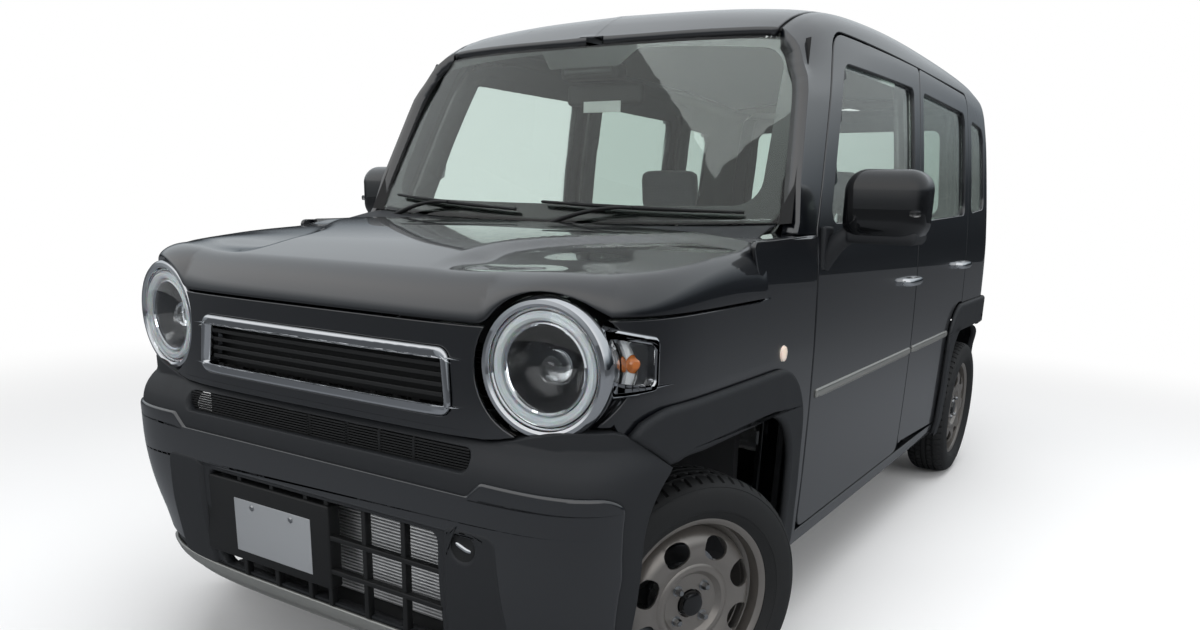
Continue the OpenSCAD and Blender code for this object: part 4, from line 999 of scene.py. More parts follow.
# %% Rear wiper, handle and tail lamps
wipe = lambda y, z, out: back(on_back(y, z)[0], t_of(z), -out)
arm = [wipe(0, 1088, 4), wipe(20, 1096, 20), wipe(160, 1120, 20), wipe(250, 1136, 16)]
blade = [wipe(70, 1124, 8), wipe(250, 1140, 9), wipe(400, 1146, 8)]
join("rear_wiper", [tube("arm", arm, 6, DUCT, radii=[1.5, 1.2, 0.9, 0.7]), tube("blade", blade, 5.5, DUCT)],
     "tailgate")
handle = rear_view([(-260, 880, 12), (-260, 918, 12), (260, 918, 12), (260, 880, 12)])
panel("tailgate_handle", [handle], raised(back, 12), 14, "tailgate", "black_gloss", mats=(PIANO,),
      step=(40, 12), rings=((2, 3), (6, 0.5), (9, 0)), dip=6)
loop = rear_view([(598, 796, 14), (598, 1002, 14), (676, 1002, 14), (676, 796, 14)])
lamps = pair("tail_lamp_{}", [loop], raised(back, 5), 30, "body", "tail_lamp", mats=(RED_LENS,),
             rings=((1.5, 2.0), (5, 0.0)), dip=4, step=(20, 25))
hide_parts("tail_lamps")
print("tail lamps", [o.name for o in lamps])

# %% [markdown]
# ## Headlamps
#
# A round lamp is turned, so its parts are spun from a profile: a plated bezel, a dark groove, the
# light guide ring, a smoked bowl with a projector lens and a clear cover. The indicator sits beside
# it in a plated pod that wraps round the corner.

# %% Headlamp profiles
def lamp_place(sg):
    """Local Z points forwards and 7 degrees outwards, at the lamp's middle."""
    return Matrix.Diagonal((1, sg, 1, 1)) @ seat(1540, LAMP_Y - 10, LAMP_Z, 7, "Z") @ seat(0, 0, 0, 90)

R = LAMP_R
BEZEL = [(R - 4, 0), (R - 1, 60), (R, 78), (R - 2, 86), (R - 7, 91), (R - 14, 92), (R - 19, 89),
         (R - 21, 82), (R - 24, 80), (R - 26, 40), (R - 26, 0)]
GROOVE = [(R - 24, 72), (R - 24, 76), (R - 34, 76), (R - 34, 72)]
RING = [(R - 28, 74), (R - 27, 82), (R - 31, 87), (R - 38, 87), (R - 43, 83), (R - 45, 74)]
INNER = [(R - 46, 72), (R - 46, 80), (R - 49, 82), (R - 52, 79), (R - 53, 72)]
BOWL_P = [(0, 22), (30, 24), (52, 34), (66, 50), (76, 74), (80, 74), (70, 44), (54, 26), (30, 18), (0, 16)]
PROJ = [(0, 68), (10, 67), (19, 63), (26, 56), (30, 47), (30, 30), (0, 30)]
COVER = [(0, 96), (40, 95.5), (70, 93.5), (92, 90), (R - 22, 86), (R - 22, 84), (92, 88), (70, 91.5),
         (40, 93.5), (0, 94)]
LAMP_PARTS = (("bezel", BEZEL, CHROME, "chrome"), ("groove", GROOVE, DUCT, "lamp"),
              ("inner_ring", INNER, CHROME, "chrome"),
              ("bowl", BOWL_P, BOWL, "lamp"), ("projector", PROJ, LENS, "lamp"),
              ("light_guide", RING, GUIDE, "lamp"), ("cover", COVER, LENS, "lamp"))
for s, sg in SIDES:
    for part, profile, mat, slot in LAMP_PARTS:
        o = lathe("headlamp_%s_%s" % (part, s), profile, lamp_place(sg), mat)
        mounted(o, "body", ["headlamp_" + s] if part == "bezel" else ())
print("headlamp bezel", 2 * R, "mm across")

# %% Indicators
u_in, u_out = NOSE_X0 + NOSE_HALF - on_front(634, 850)[0], on_lower(1480, 850)[0]
pod = [(u_out, 802, 16), (u_out, 898, 16), (u_in, 922, 6), (u_in, 792, 6)]
window = [(u_out + 15, 815, 10), (u_out + 15, 884, 10), (u_in - 3, 904, 4), (u_in - 3, 810, 4)]
rim, opening = dense(outline(pod), 15), dense(outline(window), 15)
pair("indicator_frame_{}", [rim, opening], raised(lower, 13), 24, "body", "chrome", mats=(CHROME,),
     step=(15, 15), rings=((1.5, 2.2), (4, 0.6), (6, 0)), dip=6)
pair("indicator_lens_{}", [opening], raised(lower, 11), 4, "body", "lamp", mats=(LENS,), step=(15, 15),
     rings=None)
pair("indicator_bulb_{}", [circle(mix(u_out, u_in, 0.42), 852, 17)], raised(lower, 2), 8, "body", "lamp",
     mats=(AMBER,), step=(8, 8), rings=((3, 5), (7, 2), (11, 0)), dip=8)
pair("indicator_back_{}", [opening], raised(lower, -7), 4, "body", "chrome", mats=(REFLECTOR,),
     step=(10, 10), rings=None)
print("indicator pod from", round(u_out), "to", round(u_in))

# %% [markdown]
# ## Windscreen, cowl and wipers
#
# The windscreen curves both ways. Its edge carries a black enamel band that hides the glue, with a
# deeper patch for the cameras. Below it a plastic cowl closes the gap to the bonnet.

# %% Windscreen
pane = lambda a, b, d=0: screen(a / 500, b / 650, d)
glass_edge = rectangle(4, -646, 498, 646)
inner_edge = outline([(46, -596, 60), (46, 596, 60), (462, 602, 60), (462, 170, 20), (410, 120, 20),
                      (410, -120, 20), (462, -170, 20), (462, -602, 60)])
panel("windscreen_pane", [glass_edge], pane, 5, "body", "glass", ["windscreen"], mats=(GLASS,), rings=None,
      step=(25, 45))
panel("windscreen_frit", [glass_edge, inner_edge], lambda a, b, d=0: pane(a, b, d + 5.6), 0.5, "body",
      "black_matte", mats=(FRIT,), rings=None, step=(25, 45))
print("windscreen foot and top", pane(0, 0)[:], pane(500, 0)[:])

# %% Cowl
def cowl(a, b, d=0):
    t, v = a / 100, b / 650
    foot = screen(0.012, v)
    return Vector((mix(foot.x - 4, 1000 + 45 * v * v, t), foot.y * mix(1, 1.04, t),
                   mix(foot.z - 6, 1050, smooth(t)) - d))

panel("cowl_panel", [rectangle(0, -640, 100, 640)], cowl, 4, "body", "black_matte",
      mats=(GRAINED,), rings=None, step=(12, 40))

def shoulder(a, b, d=0):
    """Painted foot of the pillar, between the fender and the cowl."""
    t, y = b / 100, 706 - 78 * b / 100
    return Vector((mix(712, 998 + 45 * (y / 690) ** 2, a / 100), y,
                   mix(1060, 1052, smooth(a / 100)) + 7 * (1 - (1 - min(1, t / 0.2)) ** 2) - d))

def screen_rim(a, b, d=0):
    q = screen(a / 500, 1, d - 1)
    b *= mix(1, 0.4, a / 500)
    return q + Vector((0.3 * b, b, 0.1 * b))

pair("pillar_foot_{}", [rectangle(0, 0, 100, 100)], shoulder, 14, "body", "paint", rings=None, step=(8, 8))
pair("screen_rim_{}", [rectangle(2, -6, 500, 32)], screen_rim, 4, "body", "black_matte",
     mats=(SEAL,), rings=None, step=(25, 12))
print("cowl at the middle", cowl(50, 0)[:])

# %% Wipers
parts = []
for a, b in ((-0.06, 0.88), (-0.95, -0.09)):
    mid = lambda t, out, a=a, b=b: screen(0.062 + 0.04 * t, mix(b, a, 0.9 * t), -out)
    pivot = screen(-0.07, a, -14)
    reach = [pivot, pivot.lerp(mid(0.5, 30), 0.3) + Vector((4, 0, 6)), mid(0.75, 32), mid(0.5, 26)]
    parts += [tube("blade", [mid(t / 6, 15) for t in range(7)], 4, DUCT),
              tube("blade", [mid(t / 6, 20) for t in range(7)], 5, DUCT,
                   radii=[0.5, 0.9, 1, 1.1, 1, 0.9, 0.5]),
              tube("arm", reach, 6.5, DUCT, radii=[1.3, 1.1, 0.8, 0.6]),
              lathe("cap", [(0, 14), (9, 13), (13, 8), (14, -12), (0, -12)], seat(*pivot), DUCT, 24)]
join("wiper_arms", parts, "body", ["wipers"])
print("two wipers at rest")

# %% Camera pod and inner mirror
mounted(block("camera_pod", 612, 668, -95, 95, 1452, 1492, DUCT, 12), "body")
mounted(block("camera_eyes", 664, 676, -78, 78, 1462, 1484, PIANO, 5), "body")
mounted(block("inner_mirror", 560, 590, -125, 125, 1392, 1450, DUCT, 12), "body")
CARD = finish_of("white_card", "F2F2F0", 0.7, bump=(1.2, 0.03))
mounted(block("blank_white_tag", 592, 594, -62, 62, 1372, 1402, CARD, 0.5), "body")
print("inner mirror is 250 mm wide")

# %% [markdown]
# ## Door mirrors, handles and mouldings
#
# The mirror housings are thick rounded boxes swept back a little, on a grained foot. The door
# pulls are plated bars with both ends turned into the skin. A satin moulding runs along each door.

# %% Door mirrors
def move_verts(obj, f):
    for v in obj.data.vertices: v.co = Vector(f(v.co * 1000)) / 1000

def swept(p):
    return p.x - max(0, p.y - 760) * 0.16, p.y, p.z

def domed(p):
    return p.x - max(0, p.y - 760) * 0.16 + 10 * (1 - ((p.z - 1136) / 86) ** 2) * (1 if p.x > 600 else 0), p.y, p.z

def chosen(obj, test):
    """Calls test on every face in edit mode and shows the mesh what it changed."""
    bm = bmesh.from_edit_mesh(obj.data)
    for f in bm.faces: test(f)
    bmesh.update_edit_mesh(obj.data)

def back_face(f):
    f.select = f.normal.x < -0.95 and f.calc_area() > 0.004

def silver(f):
    if f.select: f.material_index = 1

FOOT = [(652, 700, 985), (650, 716, 1022), (642, 738, 1058), (628, 772, 1076), (612, 812, 1078)]
for s, sg in SIDES:
    house = block("mirror_housing_" + s, 538, 672, 738, 932, 1050, 1222, PIANO, 50, 10)
    move_verts(house, domed)
    edit(house)
    chosen(house, back_face)
    bpy.ops.mesh.inset(thickness=0.006)
    bpy.ops.mesh.extrude_region_move(TRANSFORM_OT_translate={"value": (0.012, 0, 0)})
    house.data.materials.append(MIRROR)
    chosen(house, silver)
    bpy.ops.object.mode_set(mode="OBJECT")
    foot = tube("mirror_foot_" + s, FOOT, 21, GRAINED, radii=[1.0, 1.15, 1.15, 1.1, 0.8])
    base = block("mirror_base_" + s, 618, 684, 698, 716, 978, 1084, GRAINED, 8, 4)
    under = block("mirror_under_" + s, 548, 662, 752, 920, 1046, 1080, GRAINED, 14, 5)
    blinker = block("mirror_lens_" + s, 650, 676, 830, 924, 1112, 1128, LENS, 5, 4)
    move_verts(under, swept)
    move_verts(blinker, swept)
    for o in (house, foot, base, under, blinker):
        if sg < 0:
            o.data.transform(Matrix.Diagonal((1, -1, 1, 1)))
            o.data.flip_normals()
        mounted(o, "door_front_" + s, ["mirror_" + s] if o is house else ())
print("mirrors stick out to 932 mm")

# %% Handles and mouldings
PULL = [(74, 710), (74, 722), (66, 738), (30, 742), (-30, 742), (-66, 738), (-74, 722), (-74, 710)]
for s, sg in SIDES:
    for row, x, z in (("front", -178, 905), ("rear", -965, 925)):
        o = tube("pull_%s_%s" % (row, s), [(x + dx, sg * y, z) for dx, y in PULL], 8.5, CHROME, order=3)
        move_verts(o, lambda p: (p.x, p.y, z + (p.z - z) * 1.5))
        mounted(o, "door_%s_%s" % (row, s))
for row, x0, x1 in (("front", 668, -262), ("rear", -300, -826)):
    strip = [(x0, 655, 4), (x0 - 0.01, 678, 4), (x1, 678, 4), (x1 + 0.01, 655, 4)]
    pair("moulding_%s_{}" % row, [laid(outline(strip))], raised(side, 7), 9, "door_%s_{}" % row, "silver",
         mats=(SATIN,), step=(60, 12), rings=((2, 2.0), (5, 0.0)), dip=5)
BUTTON = [(0, 9), (10, 8.5), (17, 6), (20, 1), (20, -3), (0, -3)]
for s, sg in SIDES:
    place = seat(913, sg * (look(WIDTH, 800) - 2), 800, -90 * sg, "X")
    mounted(lathe("side_marker_" + s, BUTTON, place, MARKER, 32), "body")
print("moulding is 23 mm high")

# %% [markdown]
# ## Wheels and tyres
#
# A steel wheel is two spun pieces: the barrel, and a pressed disc with eight oval holes and a
# raised ring round the hub. The tyre is one spun section with a rounded shoulder, grooves round
# the tread and sipes across it. Both are modelled once, and copied to the four corners.

# %% Seating a wheel
def wheel_place(front_axle, sg):
    """Local Z is the axle, outwards. The front pair stands turned about its king pins."""
    x, track = (AXLE_F, TRACK_F) if front_axle else (AXLE_R, TRACK_R)
    m = seat(x, sg * track / 2, WHEEL_Z, -90 * sg, "X")
    if front_axle: m = seat(x, sg * KINGPIN_Y, 0, STEER, "Z") @ seat(-x, -sg * KINGPIN_Y, 0) @ m
    return m

CORNERS = [("front_left", True, 1), ("front_right", True, -1), ("rear_left", False, 1),
           ("rear_right", False, -1)]

def four(model, name, stands_for=None):
    """Copies a model made at the origin to all four wheels, with the place put into each mesh."""
    for corner, front_axle, sg in CORNERS:
        o = linked(name + "_" + corner, model.data.copy())
        o.data.name = o.name
        o.data.transform(wheel_place(front_axle, sg))
        mounted(o, "wheel_" + corner, [stands_for + "_" + corner] if stands_for else ())
    bpy.data.objects.remove(model)

print("front wheels turned", STEER, "degrees")

# %% Wheel disc and barrel
b, h = RIM_D / 2, RIM_W / 2
BARREL = [(b + 9, -h), (b + 9, -h + 5), (b + 2, -h + 9), (b, -h + 14), (b - 2, -34), (b - 20, -26),
          (b - 20, 12), (b - 2, 24), (b, h - 12), (b + 2, h - 8), (b + 9, h - 5), (b + 10.5, h - 2),
          (b + 9, h), (b + 6, h), (b + 1, h - 3), (b - 5, h - 7), (b - 7, 29), (b - 25, 16),
          (b - 25, -30), (b - 7, -39), (b - 5, -h + 8), (b + 5, -h)]
DISC = [(31, 41), (33, 45), (62, 45), (68, 46), (73, 51), (78, 57), (84, 58.5), (90, 57), (94, 54.5),
        (99, 56), (110, 61), (120, 62.5), (134, 62), (146, 59), (156, 53), (164, 42), (b - 20, 26),
        (b - 19, 2), (b - 22, 2), (b - 24, 24), (160, 38), (152, 48), (144, 53), (132, 57),
        (118, 57.5), (108, 55.5), (98, 50), (90, 50), (82, 50), (74, 43), (68, 40), (31, 40)]
HERE = Matrix.Identity(4)
disc = lathe("disc", DISC, HERE, WHEEL, 144)
print("wheel disc", len(DISC), "profile points")

# %% Oval holes
def power(v, n):
    return abs(v) ** n * math.copysign(1, v)

def oval(v):
    """52 mm by 64 mm, narrower towards the hub."""
    t = math.atan2(v.y, v.x)
    x, y = 0.026 * power(math.cos(t), 0.8), 0.032 * power(math.sin(t), 0.9)
    return Vector((0.133 + x, y * (1 + 2.6 * x), v.z + 0.05))

holes = []
for k in range(8):
    deselect()
    bpy.ops.mesh.primitive_cylinder_add(vertices=40, radius=1, depth=0.08, location=(0, 0, 0))
    holes.append(bpy.context.object)
    turn = Matrix.Rotation(math.radians(45 * k + 22.5), 3, "Z")
    for v in holes[-1].data.vertices: v.co = turn @ oval(v.co)
cutter = join("cutter", holes)
activate(disc)
cut = disc.modifiers.new("holes", "BOOLEAN")
cut.object, cut.solver = cutter, "EXACT"
bpy.ops.object.modifier_apply(modifier="holes")
bpy.data.objects.remove(cutter)
edit()
bpy.ops.mesh.select_all(action="DESELECT")
bm = bmesh.from_edit_mesh(disc.data)
for e in bm.edges:  # the rims of the holes are the edges where a hole's wall meets the face
    if len(e.link_faces) == 2 and e.calc_face_angle(0) > 0.9:
        r = math.hypot(*((e.verts[0].co + e.verts[1].co) / 2).xy)
        e.select = 0.1 < r < 0.162
bmesh.update_edit_mesh(disc.data)
bpy.ops.mesh.bevel(offset=0.0018, segments=3, clamp_overlap=True)
leave(35)
wheel = join("wheel", [disc, lathe("barrel", BARREL, HERE, WHEEL, 144)])
print("wheel faces", len(wheel.data.polygons))
four(wheel, "wheel_steel", "rim")

# %% Nuts, cap and brake disc
NUT = [(0, 19), (6, 18), (8.6, 14), (9.2, 4), (9.2, 0), (0, 0)]
WASHER = [(0, 3), (12, 2.6), (13, 0), (0, 0)]
CAP = [(0, 60), (18, 59.5), (25, 57), (29, 51), (30, 44), (30, 38), (0, 38)]
BRAKE = [(44, 8), (44, 14), (70, 16), (78, -2), (118, -2), (118, -12), (74, -12), (68, 6)]
nuts = []
for k in range(4):
    place = seat(0, 0, 0, 90 * k + 45, "Z") @ seat(50, 0, 43)
    nuts += [lathe("nut", NUT, place, STEEL, 6), lathe("washer", WASHER, place, STEEL, 24)]
four(join("nuts", nuts), "wheel_nuts")
four(lathe("cap", CAP, HERE, PIANO, 64), "wheel_cap")
four(lathe("brake", BRAKE, HERE, STEEL, 64), "brake_disc")
print("four nuts on a 100 mm circle")

# %% Tyres
r = TYRE_D / 2
half = [(r, 0), (r, 7), (r - 6.5, 7.5), (r - 6.5, 13.5), (r, 14), (r - 0.4, 32), (r - 6.5, 32.5),
        (r - 6.5, 39), (r - 1.0, 39.5), (r - 2.5, 50), (r - 6, 60), (r - 11, 68), (r - 18, 74.5),
        (r - 19.2, 73.8), (r - 20.4, 75.2), (r - 32, 79.5), (r - 44, 82), (r - 56, 82.3), (r - 66, 81),
        (r - 70, 79.6), (r - 71, 78.2), (r - 72, 78.8), (r - 80, 74), (r - 86, 68.5), (r - 90, 66),
        (b + 8, 63), (b + 5.5, 58)]
ring = [(b + 2, 50), (b + 2, -50)] + [(p, -q) for p, q in half[:0:-1]] + half
tyre = lathe("tyre", ring, HERE, RUBBER, 180)

def sipe(f):
    """Every third face across the shoulder blocks and across the middle ribs is cut in."""
    c = f.calc_center_median()
    k = int((math.atan2(c.y, c.x) + math.pi) / (2 * math.pi) * 180)
    rad, up = math.hypot(c.x, c.y) * 1000, abs(c.z) * 1000
    shoulder_block = k % 3 == 0 and 40 < up < 66 and rad > r - 9
    f.select = shoulder_block or ((k + (c.z > 0)) % 3 == 1 and 14.5 < up < 31.5 and rad > r - 2)

edit(tyre)
chosen(tyre, sipe)
bpy.ops.mesh.inset(thickness=0.0028)
bpy.ops.transform.resize(value=(0.984, 0.984, 1))
leave(30)
print("tyre faces", len(tyre.data.polygons))
four(tyre, "tyre_tread", "tyre")

# %% [markdown]
# ## Seats and dashboard
#
# A seat cushion is foam under cloth, so it is crowned in the middle and pulls in at its corners.
# Each pad starts as a box, is remeshed into even faces and is blown up a little with the cloth
# solver, whose result is applied. The sewn channels are pressed in afterwards.

# %% Pads
SWELL = 0.010   # the cloth never moves further than this from the remeshed box

def pad(name, size, place, channels=()):
    """Cushion of size (x, y, z) in mm, crowned along local Z; place seats it in the car."""
    deselect()
    bpy.ops.mesh.primitive_cube_add(size=1)
    obj = bpy.context.object
    obj.name = obj.data.name = name
    edit()
    bpy.ops.transform.resize(value=[(v - 1400 * SWELL) / 1000 for v in size])
    bpy.ops.mesh.bevel(offset=min(size) / 1000 * 0.3, segments=4, affect="EDGES")
    bpy.ops.object.mode_set(mode="OBJECT")
    remesh = obj.modifiers.new("even faces", "REMESH")
    remesh.mode, remesh.voxel_size = "VOXEL", 0.012
    bpy.ops.object.modifier_apply(modifier="even faces")
    start = [v.co.copy() for v in obj.data.vertices]
    sim = obj.modifiers.new("cloth", "CLOTH")
    sim.settings.use_pressure, sim.settings.uniform_pressure_force = True, 4
    sim.settings.effector_weights.gravity = 0
    sim.point_cache.frame_start, sim.point_cache.frame_end = 1, 12
    for frame_no in range(1, 13): bpy.context.scene.frame_set(frame_no)
    shape = obj.evaluated_get(bpy.context.evaluated_depsgraph_get()).to_mesh()
    blown = [v.co.copy() for v in shape.vertices]
    obj.modifiers.clear()
    bpy.context.scene.frame_set(1)
    for v, a, b in zip(obj.data.vertices, start, blown):
        move = b - a
        v.co = a + (move if move.length < SWELL else move.normalized() * SWELL)
    for v in obj.data.vertices:  # sewn channels across the pad
        for axis, line in channels:
            if v.co.z > 0: v.co.z -= 0.007 * math.exp(-(abs((v.co[axis] * 1000) - line) / 9) ** 2)
    sub = obj.modifiers.new("smooth", "SUBSURF")
    sub.levels = sub.render_levels = 1
    bpy.ops.object.modifier_apply(modifier="smooth")
    bpy.ops.object.shade_smooth()
    obj.data.transform(place)
    obj.data.materials.append(CLOTH)
    mounted(obj, "body")
    deselect()
    return obj

print("pads are remeshed at 12 mm")

# %% Seats
for s, y in (("left", 320), ("right", -320)):
    cushion = pad("seat_cushion_" + s, (490, 480, 140), seat(10, y, 420), [(1, -150), (1, 150), (0, 60)])
    pad("seat_back_" + s, (600, 450, 110), seat(-354, y, 742, -78),
        [(1, -140), (1, 140), (0, -60), (0, 120)])
    pad("head_rest_" + s, (160, 250, 84), seat(-424, y, 1180, -84))
    if s == "left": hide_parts("front_seats")
for s, y in (("left", 240), ("right", -240)):
    cushion = pad("rear_cushion_" + s, (490, 470, 140), seat(-810, y, 490), [(1, -120), (1, 120)])
    pad("rear_back_" + s, (500, 460, 110), seat(-1164, y, 755, -78), [(1, -120), (1, 120)])
    if s == "left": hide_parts("rear_seat")
for s, y in (("left", 320), ("right", -320)):
    rails = [block("rail", -200, 220, y + d - 14, y + d + 14, 252, 300, DUCT, 4) for d in (-170, 170)]
    rails += [block("slide", -170, 200, y - 170, y + 170, 300, 350, DUCT, 10)]
    rails += [tube("post", [(-414, y + d, 1050), (-424, y + d, 1150)], 6, STEEL) for d in (-50, 50)]
    join("seat_frame_" + s, rails, "body")
print("four seats")

# %% Dashboard
profile = [Vector(p) for p in outline([(560, 705), (524, 820, 40), (548, 982, 50), (640, 1026, 60), (776, 1012)], 10)]
steps = [0.0]
for p, q in zip(profile, profile[1:]): steps.append(steps[-1] + (q - p).length)

def on_profile(a):
    k = max([i for i in range(len(steps) - 1) if steps[i] <= a] or [0])
    return profile[k].lerp(profile[k + 1], (a - steps[k]) / (steps[k + 1] - steps[k]))

def dash(a, b, d=0):
    """a is mm round the profile, b is mm across the car."""
    n = on_profile(a + 1) - on_profile(a - 1)
    q = on_profile(a) + Vector((n.y, -n.x)).normalized() * d
    return Vector((q.x, b, q.y))

panel("dash_skin", [rectangle(4, -574, steps[-1] - 4, 574)], dash, -20, "body", "black_matte",
      ["dashboard"], mats=(DUCT,), step=(20, 60), rings=None)
parts = [block("vent", 520, 545, y - 62, y + 62, 900, 950, PIANO, 8) for y in (-470, 470, -70, 70)]
parts += [block("screen", 512, 540, -118, 118, 800, 884, PIANO, 6)]
parts += [block("binnacle", 500, 620, -440, -200, 985, 1024, DUCT, 16)]
join("dash_details", parts, "body")
for s, y in (("left", 486), ("right", -486)):
    mounted(block("rear_shelf_" + s, -1480, -1080, y, y + 20, 700, 760, LINER, 8), "body")
print("dashboard profile is", round(steps[-1]), "mm round")

# %% [markdown]
# ## Engine bay and steering wheel
#
# Under the bonnet sit a cast engine with a moulded cover, an air box, a battery and a coolant
# bottle, joined by hoses. The steering wheel is a spun rim with three spokes and a padded hub.

# %% Engine bay
bay = [block("engine", 960, 1300, -200, 230, 340, 660, STEEL, 22, 4),
       block("gearbox", 940, 1240, -328, -190, 350, 600, STEEL, 30, 4),
       block("cover", 980, 1290, -150, 210, 668, 742, PIANO, 24, 5),
       block("air_box", 950, 1180, -326, -170, 640, 790, DUCT, 18, 4),
       block("battery", 940, 1120, 236, 308, 600, 780, DUCT, 6, 3),
       block("battery_lid", 938, 1122, 234, 310, 780, 800, LINER, 4, 3),
       block("bottle", 1180, 1330, 232, 308, 620, 760, SOFT_TRIM, 20, 5)]
bay += [block("rib", 1000 + 46 * k, 1012 + 46 * k, -120, 180, 740, 750, PIANO, 4) for k in range(6)]
INTAKE = [(1060, -200, 760), (1100, -120, 790), (1180, -60, 780), (1240, 40, 740), (1260, 60, 690)]
COOLANT = [(1280, 180, 600), (1320, 200, 640), (1345, 120, 640), (1345, -60, 560), (1340, -200, 480)]
bay += [tube("intake_hose", INTAKE, 26, DUCT), tube("coolant_hose", COOLANT, 16, DUCT),
        lathe("cap", [(0, 14), (20, 14), (24, 10), (24, 0), (0, 0)], seat(1255, 270, 758), DUCT, 32)]
join("engine_bay", bay, "body", ["power_unit"])
print("engine bay is", len(bay), "pieces joined")

# %% Steering wheel
turned = [lathe("rim", circle(178, 0, 14, 16), HERE, DUCT, 96),
          lathe("hub", [(0, 20), (34, 18), (54, 10), (60, -2), (58, -18), (0, -20)], HERE, DUCT, 48),
          lathe("column", [(0, -12), (18, -12), (18, -129), (0, -129)], HERE, STEEL, 32)]
for deg in (0, 180, 270):
    for arm in (block("spoke", 46, 172, -17, 17, -8, 7, DUCT, 6, 4),
                block("inlay", 80, 150, -9, 9, 4, 9, SATIN, 3)):
        arm.data.transform(Matrix.Rotation(math.radians(deg), 4, "Z"))
        turned.append(arm)
wheel = join("steering_wheel_trim", turned, "steering_wheel", ["steering_wheel"])
wheel.data.transform(seat(400, -320, 940, -62))
print("steering wheel is 384 mm across")

# %% [markdown]
# ## Finishes for the plain CAD pieces
#
# Some CAD pieces have the right shape already: the floor, the suspension, the tank and the exhaust.
# They keep their meshes and only get a better finish.

# %% Finish the CAD pieces
PLAIN = {"floor_pan": LINER, "bulkhead": UNDER, "front_subframe": UNDER, "rear_axle": UNDER,
         "fuel_tank": DUCT, "exhaust": STEEL, "knuckle_left": UNDER, "knuckle_right": UNDER}
for name, mat in PLAIN.items():
    for slot in bpy.data.objects[name].material_slots: slot.material = mat
print("finished", len(PLAIN), "CAD pieces")

# %% [markdown]
# ## Floor, light and camera
#
# The car stands on a pale floor under three wide soft lights. Gloss paint shows what it mirrors, so
# the mirrored sky is light overhead and darker towards the horizon, and a dark hedge stands along
# the flanks. The lights themselves are kept out of the reflections, where they would look like boxes.

# %% Floor
def backdrop_finish():
    """Pale floor that runs out into white. In the paint's reflections it is as dark as tarmac."""
    m = bpy.data.materials.new("pale_studio_floor")
    m.use_nodes = True
    t = m.node_tree
    t.nodes.remove(t.nodes["Principled BSDF"])
    where = add(t, "ShaderNodeTexCoord").outputs["Object"]
    pale = add(t, "ShaderNodeBsdfDiffuse", {"Color": linear("E9EAEB")})
    dark = add(t, "ShaderNodeBsdfDiffuse", {"Color": linear("707377")})
    white = add(t, "ShaderNodeEmission", {"Color": linear("FFFFFF"), "Strength": 1.0})
    away = add(t, "ShaderNodeVectorMath", operation="LENGTH", links={0: where})
    far = add(t, "ShaderNodeMapRange", {"From Min": 2.4, "From Max": 5.5}, {"Value": away.outputs["Value"]},
              interpolation_type="SMOOTHSTEP")
    ray = add(t, "ShaderNodeLightPath")
    fade = add(t, "ShaderNodeMath", operation="MULTIPLY",
               links={0: far.outputs["Result"], 1: ray.outputs["Is Camera Ray"]})
    seen = add(t, "ShaderNodeMixShader",
               links={0: fade.outputs[0], 1: pale.outputs[0], 2: white.outputs[0]})
    both = add(t, "ShaderNodeMixShader",
               links={0: ray.outputs["Is Glossy Ray"], 1: seen.outputs[0], 2: dark.outputs[0]})
    t.links.new(both.outputs[0], t.nodes["Material Output"].inputs["Surface"])
    return m

deselect()
bpy.ops.mesh.primitive_plane_add(size=60, location=(0, 0, 0))
floor = bpy.context.object
floor.name = "floor"
floor.data.materials.append(backdrop_finish())
print("floor", floor.dimensions[:2])

# %% World
world = bpy.data.worlds.new("studio")
bpy.context.scene.world = world
world.use_nodes = True
t = world.node_tree
for node in list(t.nodes): t.nodes.remove(node)
where = add(t, "ShaderNodeTexCoord").outputs["Generated"]
up = add(t, "ShaderNodeSeparateXYZ", links={0: where}).outputs["Z"]

def sky_ramp(*stops):
    node = add(t, "ShaderNodeValToRGB", links={0: up})
    for k, (place, shade) in enumerate(stops):
        stop = node.color_ramp.elements[k] if k < 2 else node.color_ramp.elements.new(place)
        stop.position, stop.color = place, linear(shade)
    return node.outputs["Color"]

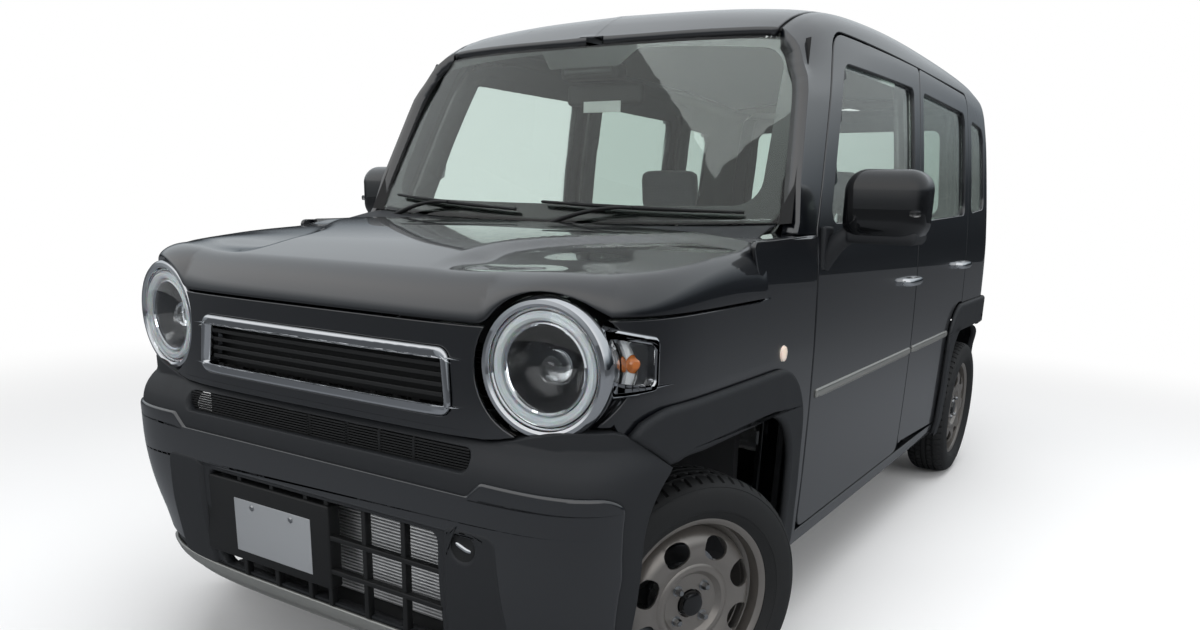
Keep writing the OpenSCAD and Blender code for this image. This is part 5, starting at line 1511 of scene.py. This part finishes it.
# ahead of the nose the sky comes down to the ground; along the flanks the hedge hides its foot
ahead_sky = sky_ramp((0.0, "85898D"), (1.0, "F4F7F9"), (0.08, "9BA0A4"), (0.26, "F2F4F6"), (0.6, "FFFFFF"))
flank_sky = sky_ramp((0.0, "1E2124"), (1.0, "E6EAEE"), (0.07, "2E3236"), (0.15, "7E858B"), (0.27, "CDD3D7"))
forward = add(t, "ShaderNodeSeparateXYZ", links={0: where}).outputs["X"]
turn_in = add(t, "ShaderNodeMapRange", {"From Min": -0.15, "From Max": 0.45}, {"Value": forward},
              interpolation_type="SMOOTHSTEP")
sky = add(t, "ShaderNodeMix", data_type="RGBA",
          links={0: turn_in.outputs["Result"], 6: flank_sky, 7: ahead_sky})
mirror_sky = add(t, "ShaderNodeBackground", {"Strength": 1.0}, {"Color": sky.outputs[2]})
plain = add(t, "ShaderNodeBackground", {"Color": linear("FFFFFF"), "Strength": 0.55})
white = add(t, "ShaderNodeBackground", {"Color": linear("FFFFFF"), "Strength": 1.0})
ray = add(t, "ShaderNodeLightPath")
lit = add(t, "ShaderNodeMixShader",
          links={0: ray.outputs["Is Glossy Ray"], 1: plain.outputs[0], 2: mirror_sky.outputs[0]})
direct = add(t, "ShaderNodeMath", operation="MAXIMUM",
             links={0: ray.outputs["Is Camera Ray"], 1: ray.outputs["Is Transmission Ray"]})
seen = add(t, "ShaderNodeMixShader", links={0: direct.outputs[0], 1: lit.outputs[0], 2: white.outputs[0]})
add(t, "ShaderNodeOutputWorld", links={"Surface": seen.outputs[0]})
print("world nodes", len(t.nodes))

# %% Soft lights
def soft_light(name, place, target, size, watts):
    lamp = bpy.data.lights.new(name, "AREA")
    lamp.shape, lamp.size, lamp.size_y, lamp.energy = "RECTANGLE", size[0], size[1], watts
    obj = linked(name, lamp)
    obj.location = place
    obj.visible_glossy = False
    obj.rotation_euler = (Vector(target) - Vector(place)).to_track_quat("-Z", "Y").to_euler()

soft_light("overhead", (0.5, 0.5, 5.2), (0, 0, 0), (5.5, 3.6), 260)
soft_light("flank", (1.0, 6.0, 2.6), (0, 0, 0.8), (6.0, 1.6), 120)
soft_light("nose", (6.5, 0.5, 2.4), (0.8, 0, 0.7), (3.2, 1.4), 90)

# %% Camera
cam_data = bpy.data.cameras.new("camera")
cam = linked("camera", cam_data)
cam_data.sensor_width, cam_data.lens = 36, 27.07
cam_data.shift_y = 0.1125
right, down = Vector((-0.5376, 0.8428, 0.0267)), Vector((0.2095, 0.1642, -0.9639))
ahead = Vector((-0.8167, -0.5126, -0.2648))
turn = Matrix((right, -down, -ahead)).transposed().to_4x4()
cam.matrix_world = Matrix.Translation((2.893, 1.468, 1.127)) @ turn
bpy.context.scene.camera = cam
bpy.context.scene.view_settings.view_transform = "Standard"
print("camera looks along", ahead[:])
